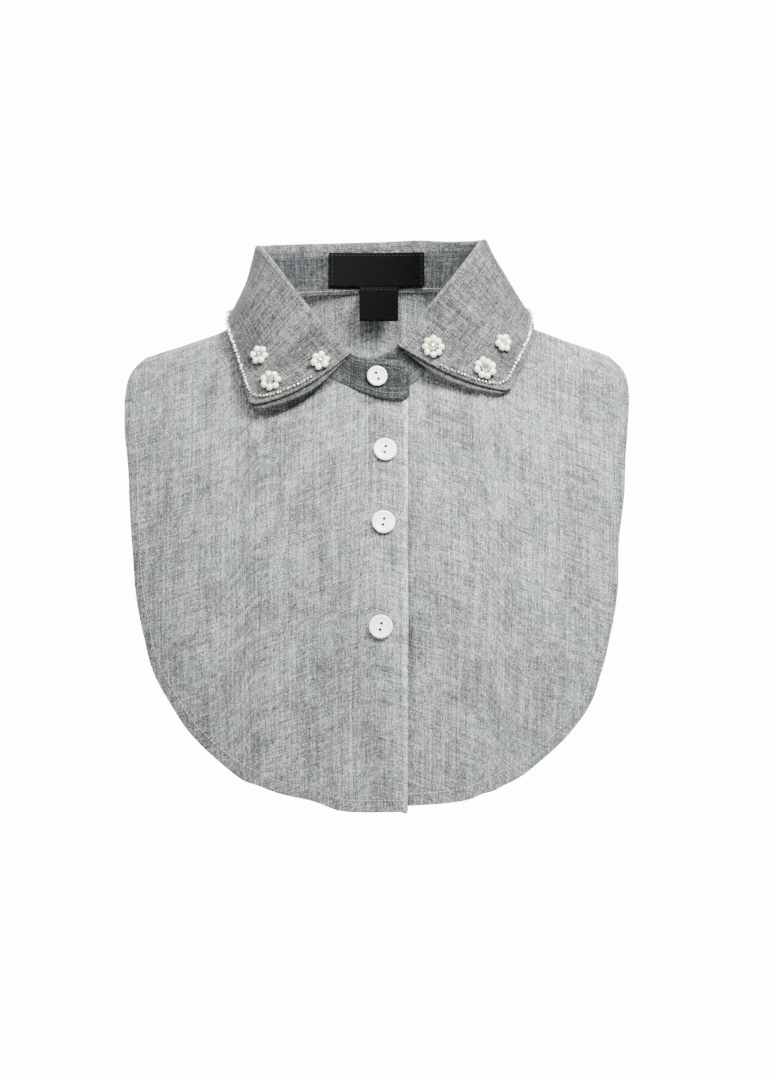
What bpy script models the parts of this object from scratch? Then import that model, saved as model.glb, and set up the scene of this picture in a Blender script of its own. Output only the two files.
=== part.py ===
"""Dickey: a mock shirt front and back with a beaded collar, buttoned and standing as worn.

X runs to the viewer's right, -Y is the front and +Z is up, in metres. The origin is the middle
of the neck opening, at the height where the shoulders meet the collar. The half on the viewer's
left is the over side, because its edge laps over the other half, the under side.
"""

import math

import bmesh
import bpy
from mathutils import Matrix, Vector

MM = 0.001
OVER, UNDER = -1, 1

# Cloth and clearances
CLOTH = 1.2 * MM            # body panels
STAND_WALL = 1.6 * MM
LEAF_WALL = 1.6 * MM
LABEL_WALL = 0.8 * MM
GAP = 0.35 * MM             # between pieces that touch on the real thing
SHOULDER_GAP = 1.0 * MM     # between the two edges that meet on the shoulder
SEAM_SEAT = 2.0 * MM        # neck seam to the edge of the panels
LABEL_GAP = 0.9 * MM        # labels to the stand they are sewn on

# Neck seam, where the panels meet the collar
NECK_HALF_WIDTH = 68.5 * MM
NECK_HALF_DEPTH = 45 * MM
NECK_SIDE_HEIGHT = 18.5 * MM
NECK_BACK_HEIGHT = 22.5 * MM
NECK_DROP = 70 * MM         # from the side of the seam to its lowest place in front
COLLAR_SHIFT = -3.5 * MM    # the collar sits a little towards the over side
COLLAR_ROLL = math.radians(1.6)

# Collar stand and its tab
STAND_BACK = 25.8 * MM
STAND_SIDE = 27.3 * MM
STAND_FRONT = 22.2 * MM
STAND_FLARE = 2.5 * MM      # the top edge is wider than the seam by this much at each side
STAND_LEAN = 2.5 * MM       # and lies this much further back
LEAN_FROM = 0.4             # share of the height that stays in place
VEE_ROUND = 20 * MM         # how softly the top edge turns at the throat
TAB_PAST = 22.7 * MM        # the over end runs this far past the collar's middle
UNDER_PAST = 14 * MM
TAB_FALL = 0.11             # slope of the tab past the middle
TAB_LIFT = 1.8 * MM         # the bare ends of the stand rise to the roll line
TAB_CORNER = 4.5 * MM
LAP = 3.4 * MM              # middle of one layer to the middle of the other
LAP_BLEND = 30 * MM         # width over which the under front leaves the over front's shape
LAP_TURNS = {OVER: (140, 166), UNDER: (135, 160)}    # degrees from the back where it grows

# Collar leaf
ROLL_RISE_BACK = 5.0 * MM   # roll line above the stand's top edge
ROLL_RISE_FRONT = 2.4 * MM
ROLL_RADIUS = 1.2 * MM
LEAF_START_OVER = 8.6 * MM  # front end of the leaf to the collar's middle
LEAF_START_UNDER = 13.6 * MM
LEAF_REACH = 100 * MM       # half the spread of the leaf's edge
LEAF_DEPTH = 60 * MM        # how far the points hang below the origin
LEAF_TURNS_FORWARD = 0.5    # place where the leaf's edge passes from the back to the front
LEAF_LIFT = 5 * MM          # the edge stands this far off the panels
POINT_ROUND_OVER = 1.5 * MM
POINT_ROUND_UNDER = 6 * MM

# Body panels
BIB_HALF_WIDTH = 160 * MM
BIB_LENGTH = 306 * MM       # origin to the hem at the buttoning edge
HEM_STEP = 3.2 * MM         # the under side's hem ends higher
BACK_LENGTH = 245 * MM
LAP_EDGE = 18.5 * MM        # buttoning edge of the over side, right of the middle
UNDER_EDGE = -10 * MM
EDGE_SWAY = 1.9 * MM        # the buttoning edge is not quite straight
SHOULDER_OVER = -9 * MM     # height of each shoulder, SHOULDER_AT from the middle
SHOULDER_UNDER = -6 * MM
SHOULDER_AT = 100 * MM
SLOPE_OVER = 0.335
SLOPE_UNDER = 0.37
SHOULDER_BLEND = 0.8        # the two shoulder lines merge over this share of the neck's width
NECK_SPREAD = 14 * MM       # width of the hollow where the neck runs into the shoulder
STRIP_START = 12 * MM       # from the collar's middle to where the buttoning strip starts

# Form under the cloth
FORM_HALF_WIDTH = 185 * MM
FORM_FALL = 360 * MM
CHEST_DEPTH = 95 * MM       # how far forward the chest is at FORM_FALL below the shoulder
BUST = 8 * MM
BUST_FALL = 200 * MM
BUST_SPREAD = 90 * MM
BACK_DEPTH = 91 * MM
BACK_ROUND = 0.35           # a smaller power turns the back over the shoulder more sharply
PULL_FALL = 40 * MM         # how far the neck seam's own shape reaches down the cloth
PULL_BESIDE = 10 * MM       # and sideways past the neck
PULL_EASE = 2 * MM          # keeps it small where the seam meets the shoulder ridge

# Buttons
BUTTON_RADIUS = 7.3 * MM
COLLAR_BUTTON_RADIUS = 6.3 * MM
BUTTON_THICK = 2.2 * MM
BUTTON_SHANK = 0.6 * MM     # thread that holds the button off the cloth
BUTTON_RIM = 1.1 * MM
BUTTON_DISH = 0.5 * MM
HOLE_RADIUS = 0.8 * MM
HOLE_APART = 3.8 * MM
HOLE_SLANT = 0.4            # sideways step between the holes, as a share of their distance
COLLAR_BUTTON_PAST = 3.8 * MM    # past the collar's middle

# Labels
NECK_LABEL_WIDTH = 61.5 * MM
NECK_LABEL_HEIGHT = 22 * MM
CARE_LABEL_WIDTH = 24.6 * MM
CARE_LABEL_HEIGHT = 22 * MM
CARE_LABEL_OFFSET = 1.4 * MM
CARE_LABEL_SWING = 1.5 * MM # its lower edge hangs this far off the cloth
LABEL_BELOW = 1.5 * MM      # top of the labels below the stand's top edge

# Beads
PEARL_RADIUS = 2.25 * MM
PEARL_MEET = 0.86           # distance between the petals of a flower, as a share of touching
TRIM_RADIUS = 1.1 * MM
TRIM_GAP = 0.7 * MM         # string to the leaf
TRIM_INSET_FRONT = 7.2 * MM # front edge of the leaf to the middle of the string
TRIM_INSET_OVER = 3.4 * MM  # and from its side and back edge
TRIM_INSET_UNDER = 5.2 * MM
TRIM_TURN = 0.92            # where the string has turned the point, as a share of the leaf

# Heights of the neck seam in front, as shares of NECK_DROP below its side.
# across: share of the half width from the collar's middle, negative past the middle
SEAM_FALL = (
    # across, over, under
    (-0.35, 0.996, 0.993),
    (-0.13, 0.986, 0.988),
    (0.00, 0.950, 0.978),
    (0.21, 0.862, 0.930),
    (0.43, 0.722, 0.812),
    (0.64, 0.485, 0.530),
    (0.86, 0.210, 0.240),
    (1.00, 0.000, 0.000),
)

# Side edge and hem of the front: fall as a share of BIB_LENGTH, widths of BIB_HALF_WIDTH
FRONT_OUTLINE = (
    # fall, over, under
    (0.081, 0.925, 0.925),
    (0.101, 0.963, 0.971),
    (0.120, 0.984, 0.991),
    (0.152, 0.996, 1.000),
    (0.180, 1.000, 1.000),
    (0.235, 0.998, 0.992),
    (0.302, 0.983, 0.981),
    (0.376, 0.972, 0.974),
    (0.467, 0.956, 0.951),
    (0.565, 0.941, 0.944),
    (0.663, 0.906, 0.909),
    (0.729, 0.874, 0.880),
    (0.793, 0.806, 0.839),
    (0.856, 0.719, 0.750),
    (0.918, 0.586, 0.612),
    (0.949, 0.477, 0.511),
    (0.964, 0.391, 0.441),
    (0.979, 0.256, 0.348),
)

# Side edge and hem of the back: fall as a share of BACK_LENGTH, width of BIB_HALF_WIDTH
BACK_OUTLINE = (
    # fall, width
    (0.100, 0.925),
    (0.200, 0.930),
    (0.360, 0.905),
    (0.540, 0.872),
    (0.700, 0.815),
    (0.820, 0.710),
    (0.910, 0.545),
    (0.970, 0.325),
    (1.000, 0.000),
)

# Edge of the leaf, lying on the form. place: -1 at the over point, 0 at the back, 1 at the
# under point, as shares of the turn to the leaf's front end; x, y: shares of LEAF_REACH from
# the middle; z: share of LEAF_DEPTH. A row gives y or z, and the form gives the other. bulge
# and droop: how far the leaf's middle stands out and sags, as shares of LEAF_DEPTH
LEAF_EDGE = (
    # place, x, y, z, bulge, droop
    (-1.00, -0.780, None, -0.975, 0.20, 0.24),
    (-0.84, -0.865, None, -0.57, 0.12, 0.10),
    (-0.68, -0.930, None, -0.22, 0.00, 0.02),
    (-0.53, -0.955, 0.00, None, -0.07, 0.00),
    (-0.41, -0.900, 0.20, None, -0.02, 0.00),
    (-0.33, -0.820, 0.270, None, 0.04, 0.00),
    (-0.26, -0.710, None, -0.04, 0.08, 0.00),
    (-0.19, -0.560, None, 0.04, 0.09, 0.00),
    (-0.13, -0.400, None, 0.10, 0.10, 0.00),
    (0.00, -0.035, None, 0.13, 0.07, 0.00),
    (0.13, 0.330, None, 0.12, 0.10, 0.00),
    (0.20, 0.520, None, 0.07, 0.09, 0.00),
    (0.27, 0.690, None, -0.03, 0.08, 0.00),
    (0.34, 0.815, 0.270, None, 0.04, 0.00),
    (0.42, 0.920, 0.20, None, -0.02, 0.00),
    (0.54, 1.010, 0.00, None, -0.07, 0.00),
    (0.69, 0.990, None, -0.25, 0.00, 0.02),
    (0.85, 0.915, None, -0.52, 0.12, 0.08),
    (1.00, 0.828, None, -0.815, 0.20, 0.19),
)

# Buttons down the front: x and fall below the origin as shares of LAP_EDGE and BIB_LENGTH
BUTTONS = (
    # name, x, fall
    ("button_1", 0.29, 0.277),
    ("button_2", 0.24, 0.424),
    ("button_3", 0.15, 0.633),
)

# Flowers of pearls on the leaf. place: as in LEAF_EDGE; down: share of the way from the roll
# line to the edge; petals: pearls round the middle; turn: degrees
FLOWERS = (
    # name, place, down, petals, turn
    ("flower_1", -0.85, 0.66, 6, 0),
    ("flower_2", -0.93, 0.68, 7, 10),
    ("flower_3", -0.955, 0.205, 6, 20),
    ("flower_4", 0.945, 0.205, 8, 0),
    ("flower_5", 0.93, 0.67, 8, 15),
    ("flower_6", 0.83, 0.69, 6, 5),
)

CHAMBRAY = (0.36, 0.38, 0.39)
LABEL_BLACK = (0.012, 0.012, 0.014)
BUTTON_WHITE = (0.80, 0.80, 0.78)
PEARL_CREAM = (0.82, 0.78, 0.68)
BEAD_SILVER = (0.62, 0.61, 0.58)


def smooth(start, end, value):
    """0 before start, 1 after end, and an even ease between them."""
    share = min(max((value - start) / (end - start), 0), 1)
    return share * share * (3 - 2 * share)


def mix(a, b, share):
    return a + (b - a) * share


def through(rows, column, key):
    """Value of one column of a table at a key of its first column, on a smooth curve."""
    keys = [row[0] for row in rows]
    values = [row[column] for row in rows]
    key = min(max(key, keys[0]), keys[-1])
    last = len(keys) - 1
    i = next((n for n in range(last) if key <= keys[n + 1]), last - 1)

    def slope(n):
        low, high = max(n - 1, 0), min(n + 1, last)
        return (values[high] - values[low]) / (keys[high] - keys[low])

    span = keys[i + 1] - keys[i]
    u = (key - keys[i]) / span
    rise = values[i + 1] - values[i]
    first, second = slope(i) * span, slope(i + 1) * span
    return (values[i] + first * u + (3 * rise - 2 * first - second) * u * u
            + (first + second - 2 * rise) * u ** 3)


def along_points(points, share):
    """Point at a share of the length of a smooth curve through the points."""
    lengths = [0]
    for a, b in zip(points, points[1:]):
        lengths.append(lengths[-1] + (b - a).length)
    rows = [(length, *point) for length, point in zip(lengths, points)]
    key = share * lengths[-1]
    return Vector([through(rows, column, key) for column in range(1, len(rows[0]))])


def round_off(distance, radius):
    """How much a rounded corner takes off, at a distance from the end."""
    if distance >= radius:
        return 0
    return radius - math.sqrt(max(radius ** 2 - (radius - distance) ** 2, 0))


# Collar ring. turn is the angle from the back: positive to the under side, pi at the throat

def collar_side(turn):
    return UNDER if turn > 0 else OVER


def lap_offset(turn):
    """Outward shift that lets the over end lie on the under end."""
    side = collar_side(turn)
    return -side * LAP / 2 * smooth(*LAP_TURNS[side], math.degrees(abs(turn)))


def ring_out(turn):
    """Outward direction of the ring, seen from above."""
    return Vector((math.sin(turn) / NECK_HALF_WIDTH, math.cos(turn) / NECK_HALF_DEPTH, 0)).normalized()


def ring_plan(turn, rise):
    """Ring point seen from above, where rise is 0 at the neck seam and 1 at the top edge."""
    x = (NECK_HALF_WIDTH + STAND_FLARE * rise) * math.sin(turn)
    y = NECK_HALF_DEPTH * math.cos(turn) + STAND_LEAN * (rise - LEAN_FROM)
    return Vector((x, y, 0)) + ring_out(turn) * lap_offset(turn)


def rolled(x, height):
    """Adds the small tilt of the whole collar."""
    return height + x * math.tan(COLLAR_ROLL)


def seam_height(turn):
    """Height of the neck seam."""
    x = NECK_HALF_WIDTH * math.sin(turn)
    if abs(turn) < math.pi / 2:
        height = mix(NECK_SIDE_HEIGHT, NECK_BACK_HEIGHT, math.cos(turn) ** 2)
    else:
        across = x / NECK_HALF_WIDTH * collar_side(turn)
        column = 1 if turn < 0 else 2
        height = NECK_SIDE_HEIGHT - NECK_DROP * through(SEAM_FALL, column, across)
    return rolled(x, height)


def past_middle(turn):
    """How far a turn is past the throat, sideways."""
    return max(-NECK_HALF_WIDTH * math.sin(turn) * collar_side(turn), 0) if abs(turn) > math.pi / 2 else 0


def stand_top(turn):
    """Height of the stand's top edge, before the lift of its bare ends."""
    x = (NECK_HALF_WIDTH + STAND_FLARE) * math.sin(turn)
    side = NECK_SIDE_HEIGHT + STAND_SIDE
    if abs(turn) < math.pi / 2:
        height = mix(side, NECK_BACK_HEIGHT + STAND_BACK, math.cos(turn) ** 2)
    else:
        throat = NECK_SIDE_HEIGHT - NECK_DROP + STAND_FRONT
        reach = math.hypot(NECK_HALF_WIDTH + STAND_FLARE, VEE_ROUND) - VEE_ROUND
        vee = 0 if past_middle(turn) else (math.hypot(x, VEE_ROUND) - VEE_ROUND) / reach
        height = mix(throat, side, vee) - TAB_FALL * past_middle(turn)
    return rolled(x, height)


def leaf_end(side):
    """Turn of the leaf's front end."""
    start = LEAF_START_OVER if side == OVER else LEAF_START_UNDER
    return side * (math.pi - math.asin(start / (NECK_HALF_WIDTH + STAND_FLARE)))


def roll_rise(turn):
    return mix(ROLL_RISE_FRONT, ROLL_RISE_BACK, (1 + math.cos(turn)) / 2)


def stand_point(turn, level):
    """Middle of the stand's wall, where level is 0 at the seam and 1 at the top edge."""
    low = seam_height(turn) + GAP / 2
    end = abs(leaf_end(collar_side(turn)))
    high = stand_top(turn) + TAB_LIFT * smooth(end + 0.03, end + 0.13, abs(turn))
    if turn < 0:
        high -= round_off(TAB_PAST - past_middle(turn), TAB_CORNER) if past_middle(turn) else 0
    point = ring_plan(turn, level)
    return Vector((point.x + COLLAR_SHIFT, point.y, mix(low, high, level)))


# Form that the panels lie on

def shoulder_line(x):
    """Height of the straight shoulder, carried across the neck."""
    over = SHOULDER_OVER - SLOPE_OVER * (abs(x) - SHOULDER_AT)
    under = SHOULDER_UNDER - SLOPE_UNDER * (abs(x) - SHOULDER_AT)
    return mix(over, under, smooth(-SHOULDER_BLEND, SHOULDER_BLEND, x / NECK_HALF_WIDTH))


def ridge_height(x):
    """Height of the top of the shoulder, which rises to the neck seam at each side."""
    from_collar = x - COLLAR_SHIFT
    rises = []
    for side in (OVER, UNDER):
        neck_x = side * NECK_HALF_WIDTH
        rises.append(rolled(neck_x, NECK_SIDE_HEIGHT) - shoulder_line(neck_x + COLLAR_SHIFT))
    share = min(max(from_collar / NECK_HALF_WIDTH / 2 + 0.5, 0), 1)
    away = max(abs(from_collar) - NECK_HALF_WIDTH, 0) / NECK_SPREAD
    return shoulder_line(x) + mix(rises[0], rises[1], share) * math.exp(-away * away)


def form_depth(x, z, facing):
    """Distance of the form from the shoulder ridge, in front (-1) or behind (1)."""
    fall = max(ridge_height(x) - z, 0)
    turned = math.sqrt(max(1 - (x / FORM_HALF_WIDTH) ** 2, 0))
    if facing > 0:
        return BACK_DEPTH * (fall / FORM_FALL) ** BACK_ROUND * turned
    bust = BUST * math.exp(-((fall - BUST_FALL) / BUST_SPREAD) ** 2) * smooth(0, BUST_FALL, fall)
    return (CHEST_DEPTH * math.sqrt(fall / FORM_FALL) + bust) * turned


def seam_turn(x, facing, side):
    """Turn of the neck seam above or below a place seen from the front."""
    across = min(max((x - COLLAR_SHIFT) / NECK_HALF_WIDTH * side, -0.999), 0.999)
    if facing > 0:
        return side * math.asin(across)
    return side * (math.pi - math.asin(across))


def panel_y(x, z, facing, side=None):
    """Depth of the cloth at a place seen from the front, drawn to the neck seam near it."""
    from_collar = x - COLLAR_SHIFT
    turn = seam_turn(x, facing, side or (UNDER if from_collar > 0 else OVER))
    seam_x, seam_z = COLLAR_SHIFT + NECK_HALF_WIDTH * math.sin(turn), seam_height(turn)
    seam_depth = facing * (NECK_HALF_DEPTH * math.cos(turn) - LEAN_FROM * STAND_LEAN)
    pull = (seam_depth + PULL_EASE) / (form_depth(seam_x, seam_z, facing) + PULL_EASE) - 1
    below = max(seam_z - z, 0) / PULL_FALL
    beside = max(abs(from_collar) - NECK_HALF_WIDTH, 0) / PULL_BESIDE
    return facing * form_depth(x, z, facing) * (1 + pull * math.exp(-below - beside))


def lap_shift(x, side):
    """Depth shift of the two fronts where they lie on each other."""
    start, end = [COLLAR_SHIFT * side + NECK_HALF_WIDTH * math.sin(math.radians(turn))
                  for turn in LAP_TURNS[side]]
    return side * LAP / 2 * smooth(start, end, x * side)


def front_y(x, z, side):
    """Depth of a front; where the two lap, the under one follows the over one."""
    depth = panel_y(x, z, -1, side)
    if side == UNDER:
        apart = smooth(LAP_EDGE, LAP_EDGE + LAP_BLEND, x)
        depth = mix(panel_y(x, z, -1, OVER), depth, apart)
    return depth + lap_shift(x, side)


def edge_sway(z):
    """Sideways wander of the buttoning edge."""
    return EDGE_SWAY * math.cos(math.tau * (z / BIB_LENGTH + 0.28))


# Making solids

def collection(name):
    made = bpy.data.collections.new(name)
    bpy.context.scene.collection.children.link(made)
    return made


def material(name, colour, roughness, metallic=0.0):
    made = bpy.data.materials.new(name)
    made.use_nodes = True
    shader = made.node_tree.nodes["Principled BSDF"]
    shader.inputs["Base Color"].default_value = (*colour, 1)
    shader.inputs["Roughness"].default_value = roughness
    shader.inputs["Metallic"].default_value = metallic
    made.diffuse_color = (*colour, 1)
    return made


def add(name, data, finish, parts):
    made = bpy.data.objects.new(name, data)
    made.data.materials.append(finish)
    parts.objects.link(made)
    return made


def wall(name, grid, thick, finish, parts):
    """Cloth wall lofted through rows of points, with its thickness centred on them."""
    mesh = bpy.data.meshes.new(name)
    bm = bmesh.new()
    verts = [[bm.verts.new(point) for point in row] for row in grid]
    for row, following in zip(verts, verts[1:]):
        for a, b, c, d in zip(row, row[1:], following[1:], following):
            bm.faces.new((a, b, c, d))
    bm.to_mesh(mesh)
    bm.free()
    mesh.shade_smooth()
    made = add(name, mesh, finish, parts)
    solid = made.modifiers.new("thickness", "SOLIDIFY")
    solid.thickness = thick
    solid.offset = 0
    return made


def shares(count, power=1.0):
    """Even shares from 0 to 1, drawn towards 0 by a power above 1."""
    return [(n / count) ** power for n in range(count + 1)]


# Panels

def fan(start, end, rows, facing, depth):
    """Points of one line of a panel, from the neck seam to the outer edge.

    start and end hold x and the fall below the shoulder ridge."""
    seat = (end - start).normalized() * SEAM_SEAT
    line = []
    for share in shares(rows, 1.25):
        x, fall = mix(start + seat, end, share)
        z = ridge_height(x) - fall
        line.append((x, depth(x, z) + facing * SHOULDER_GAP / 2, z))
    return line


def below_ridge(x, z):
    """Place seen from the front, as x and the fall below the shoulder ridge."""
    return Vector((x, max(ridge_height(x) - z, 0)))


def front_outline(side, inner_x, hem_z):
    """Outer edge of a front, from the shoulder tip to where the buttoning strip starts."""
    column = 1 if side == OVER else 2
    points = []
    for row in FRONT_OUTLINE:
        x, z = side * row[column] * BIB_HALF_WIDTH, -row[0] * BIB_LENGTH
        points.append(below_ridge(x, z) if points else Vector((x, 0)))
    points.append(below_ridge(mix(inner_x, points[-1].x, 0.4), mix(hem_z, z, 0.2)))
    points.append(below_ridge(inner_x, hem_z))
    return points


def front_panel(name, side, edge_x, hem_z, finish, parts):
    strip_x = COLLAR_SHIFT + side * STRIP_START
    outline = front_outline(side, strip_x, hem_z)
    strip_turn = math.pi - math.asin(side * (strip_x - COLLAR_SHIFT) / NECK_HALF_WIDTH)
    lines = []
    for share in shares(24, 1.3):
        turn = side * mix(math.pi / 2, strip_turn, share ** 0.8)
        seam = below_ridge(COLLAR_SHIFT + NECK_HALF_WIDTH * math.sin(turn), seam_height(turn))
        lines.append((seam, along_points(outline, share)))
    for share in shares(3)[1:]:
        x = mix(strip_x, edge_x, share)
        turn = side * (math.pi - math.asin(side * (x - COLLAR_SHIFT) / NECK_HALF_WIDTH))
        sway = edge_sway(-BIB_LENGTH) * share
        lines.append((below_ridge(x, seam_height(turn)), below_ridge(x + sway, hem_z)))
    grid = [fan(start, end, 10, -1, lambda x, z: front_y(x, z, side)) for start, end in lines]
    return wall(name, grid if side == OVER else grid[::-1], CLOTH, finish, parts)


def back_outline(side):
    points = []
    for fall, width in BACK_OUTLINE:
        x, z = side * width * BIB_HALF_WIDTH, -fall * BACK_LENGTH
        points.append(below_ridge(x, z) if points else Vector((x, 0)))
    return points


def back_panel(finish, parts):
    half = []
    for side in (OVER, UNDER):
        outline = back_outline(side)
        lines = []
        for share in shares(14, 1.6):
            turn = side * math.pi / 2 * (1 - share ** 0.8)
            seam = below_ridge(COLLAR_SHIFT + NECK_HALF_WIDTH * math.sin(turn), seam_height(turn))
            lines.append((seam, along_points(outline, share)))
        half.append(lines)
    lines = half[0] + half[1][-2::-1]
    grid = [fan(start, end, 9, 1, lambda x, z: panel_y(x, z, 1)) for start, end in lines]
    return wall("back_panel", grid[::-1], CLOTH, finish, parts)


# Collar

def tab_turn(side, past):
    return side * (math.pi + math.asin(past / NECK_HALF_WIDTH))


def leaf_places():
    """Places of the leaf's rows, closer together where it turns the shoulder and at its points."""
    steps = [0, 0.07, 0.13, 0.19, 0.24, 0.28, 0.32, 0.36, 0.40, 0.45, 0.51, 0.57, 0.64, 0.71, 0.78]
    steps += [0.84, 0.89, 0.93, 0.96, 0.98, 1]
    return [-step for step in steps[:0:-1]] + steps


def collar_stand(finish, parts):
    ring = [leaf_turn(place) for place in leaf_places()]
    tab = [mix(tab_turn(OVER, TAB_PAST), ring[0], share) for share in shares(10, 1.3)[:-1]]
    under = [mix(ring[-1], tab_turn(UNDER, UNDER_PAST), share) for share in shares(6)[1:]]
    grid = [[stand_point(turn, level) for level in shares(2)] for turn in tab + ring + under]
    return wall("collar_stand", grid, STAND_WALL, finish, parts)


def form_top(x, y):
    """Height of the cloth at a place seen from above."""
    facing = 1 if y > 0 else -1
    low, high = ridge_height(x) - BIB_LENGTH, ridge_height(x)
    for _ in range(30):
        middle = (low + high) / 2
        if panel_y(x, middle, facing) * facing > y * facing:
            low = middle
        else:
            high = middle
    return high


def leaf_rows():
    """Edge points and middle offsets of the leaf, in metres."""
    rows = []
    for place, x_share, y_share, z_share, bulge, droop in LEAF_EDGE:
        x = x_share * LEAF_REACH
        if z_share is None:
            y = y_share * LEAF_REACH
            edge = Vector((x, y, form_top(x, y) + LEAF_LIFT))
        else:
            facing = 1 if abs(place) < LEAF_TURNS_FORWARD else -1
            z = z_share * LEAF_DEPTH
            edge = Vector((x, panel_y(x, z, facing) + facing * LEAF_LIFT, z))
        rows.append((place, *edge, bulge * LEAF_DEPTH, droop * LEAF_DEPTH))
    return rows


LEAF_ROWS = leaf_rows()


def leaf_turn(place):
    return leaf_end(UNDER if place > 0 else OVER) * abs(place)


def roll_point(turn):
    """Top of the leaf's fold, in the middle of the cloth."""
    point = ring_plan(turn, 1) + ring_out(turn) * ROLL_RADIUS
    return Vector((point.x + COLLAR_SHIFT, point.y, stand_top(turn) + roll_rise(turn)))


def leaf_point(place, down):
    """Middle of the leaf's cloth; down is 0 just outside the fold and 1 at the edge."""
    turn = leaf_turn(place)
    start = roll_point(turn) + ring_out(turn) * ROLL_RADIUS - Vector((0, 0, ROLL_RADIUS))
    end = Vector([through(LEAF_ROWS, column, place) for column in (1, 2, 3)])
    bulge, droop = through(LEAF_ROWS, 4, place), through(LEAF_ROWS, 5, place)
    for tip_row, corner in ((LEAF_ROWS[0], POINT_ROUND_OVER), (LEAF_ROWS[-1], POINT_ROUND_UNDER)):
        from_tip = (end - Vector(tip_row[1:4])).length
        down *= 1 - round_off(from_tip, corner) / (end - start).length
    middle = (start + end) / 2 + ring_out(turn) * bulge - Vector((0, 0, droop))
    return (1 - down) ** 2 * start + 2 * down * (1 - down) * middle + down ** 2 * end


def leaf_out(place, down):
    """Outward direction of the leaf's cloth."""
    step = 0.01
    across = leaf_point(min(place + step, 1), down) - leaf_point(max(place - step, -1), down)
    fall = leaf_point(place, min(down + step, 1)) - leaf_point(place, down - step)
    return across.cross(fall).normalized()


def leaf_section(place):
    """Points of the leaf from its seam inside the neck, over the fold, to the edge."""
    turn = leaf_turn(place)
    out, top = ring_out(turn), roll_point(turn)
    seam = ring_plan(turn, 1)
    line = [Vector((seam.x + COLLAR_SHIFT, seam.y, stand_top(turn) + GAP))]
    for angle in (180, 135, 90, 45):
        swing = math.radians(angle)
        centre = top - Vector((0, 0, ROLL_RADIUS))
        line.append(centre + ROLL_RADIUS * (out * math.cos(swing) + Vector((0, 0, math.sin(swing)))))
    line += [leaf_point(place, down) for down in shares(6)]
    return line


def collar_leaf(finish, parts):
    return wall("collar_leaf", [leaf_section(place) for place in leaf_places()], LEAF_WALL, finish, parts)


# Labels

def inside_wall(x, z, inset):
    """Point just inside the back of the stand."""
    turn = math.asin((x - COLLAR_SHIFT) / (NECK_HALF_WIDTH + STAND_FLARE))
    low, high = seam_height(turn), stand_top(turn)
    level = min(max((z - low) / (high - low), 0), 1)
    point = ring_plan(turn, level) - ring_out(turn) * inset
    return Vector((x, point.y, z))


def neck_label(finish, parts):
    inset = STAND_WALL / 2 + LABEL_WALL / 2 + LABEL_GAP
    top = NECK_BACK_HEIGHT + STAND_BACK - LABEL_BELOW
    grid = []
    for across in shares(8):
        x = NECK_LABEL_WIDTH * (across - 0.5)
        grid.append([inside_wall(x, top - NECK_LABEL_HEIGHT * down, inset) for down in (0, 0.5, 1)])
    return wall("neck_label", grid, LABEL_WALL, finish, parts)


def care_label(finish, parts):
    top = NECK_BACK_HEIGHT + STAND_BACK - LABEL_BELOW - NECK_LABEL_HEIGHT - GAP
    inset = STAND_WALL / 2 + LABEL_WALL / 2 + LABEL_GAP
    grid = []
    for across in shares(3):
        x = CARE_LABEL_OFFSET + CARE_LABEL_WIDTH * (across - 0.5)
        line = []
        for down in shares(3):
            z = top - CARE_LABEL_HEIGHT * down
            line.append(inside_wall(x, z, inset + CARE_LABEL_SWING * down))
        grid.append(line)
    return wall("care_label", grid, LABEL_WALL, finish, parts)


# Buttons

def button_mesh(name, radius):
    """Dished disc with a raised rim and two holes, its back on z = 0."""
    profile = bpy.data.meshes.new(name + "_profile")
    inner = radius - 2 * BUTTON_RIM
    points = (
        (0, BUTTON_THICK - BUTTON_DISH),
        (inner, BUTTON_THICK - BUTTON_DISH),
        (inner + BUTTON_RIM * 0.6, BUTTON_THICK),
        (radius - BUTTON_RIM * 0.4, BUTTON_THICK),
        (radius, BUTTON_THICK * 0.6),
        (radius - BUTTON_RIM * 0.5, 0),
        (0, 0),
    )
    bm = bmesh.new()
    verts = [bm.verts.new((x, 0, z)) for x, z in points]
    for a, b in zip(verts, verts[1:]):
        bm.edges.new((a, b))
    bm.to_mesh(profile)
    bm.free()
    return profile


def button(name, radius, place, out, finish, parts, cutters):
    """Button lying on the cloth with its face along out."""
    made = add(name, button_mesh(name, radius), finish, parts)
    turned = made.modifiers.new("turn", "SCREW")
    turned.axis = "Z"
    turned.angle = math.tau
    turned.steps = turned.render_steps = 16
    turned.use_merge_vertices = True
    turned.merge_threshold = 0.00001
    across = Vector((1, 0, 0)) - out * out.x
    across.normalize()
    frame = Matrix((across, out.cross(across), out)).transposed().to_4x4()
    made.matrix_world = Matrix.Translation(place) @ frame
    for end in (-1, 1):
        mesh = bpy.data.meshes.new(f"{name}_hole")
        bm = bmesh.new()
        bmesh.ops.create_cone(bm, cap_ends=True, segments=8, radius1=HOLE_RADIUS,
                              radius2=HOLE_RADIUS, depth=BUTTON_THICK * 3)
        bm.to_mesh(mesh)
        bm.free()
        cutter = bpy.data.objects.new(f"{name}_hole", mesh)
        cutter.hide_render = True
        cutter.display_type = "WIRE"
        cutters.objects.link(cutter)
        offset = Matrix.Translation((-end * HOLE_APART * HOLE_SLANT / 2, end * HOLE_APART / 2, BUTTON_THICK / 2))
        cutter.matrix_world = made.matrix_world @ offset
        cut = made.modifiers.new("hole", "BOOLEAN")
        cut.operation = "DIFFERENCE"
        cut.object = cutter
        cut.solver = "EXACT"
    return made


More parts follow.
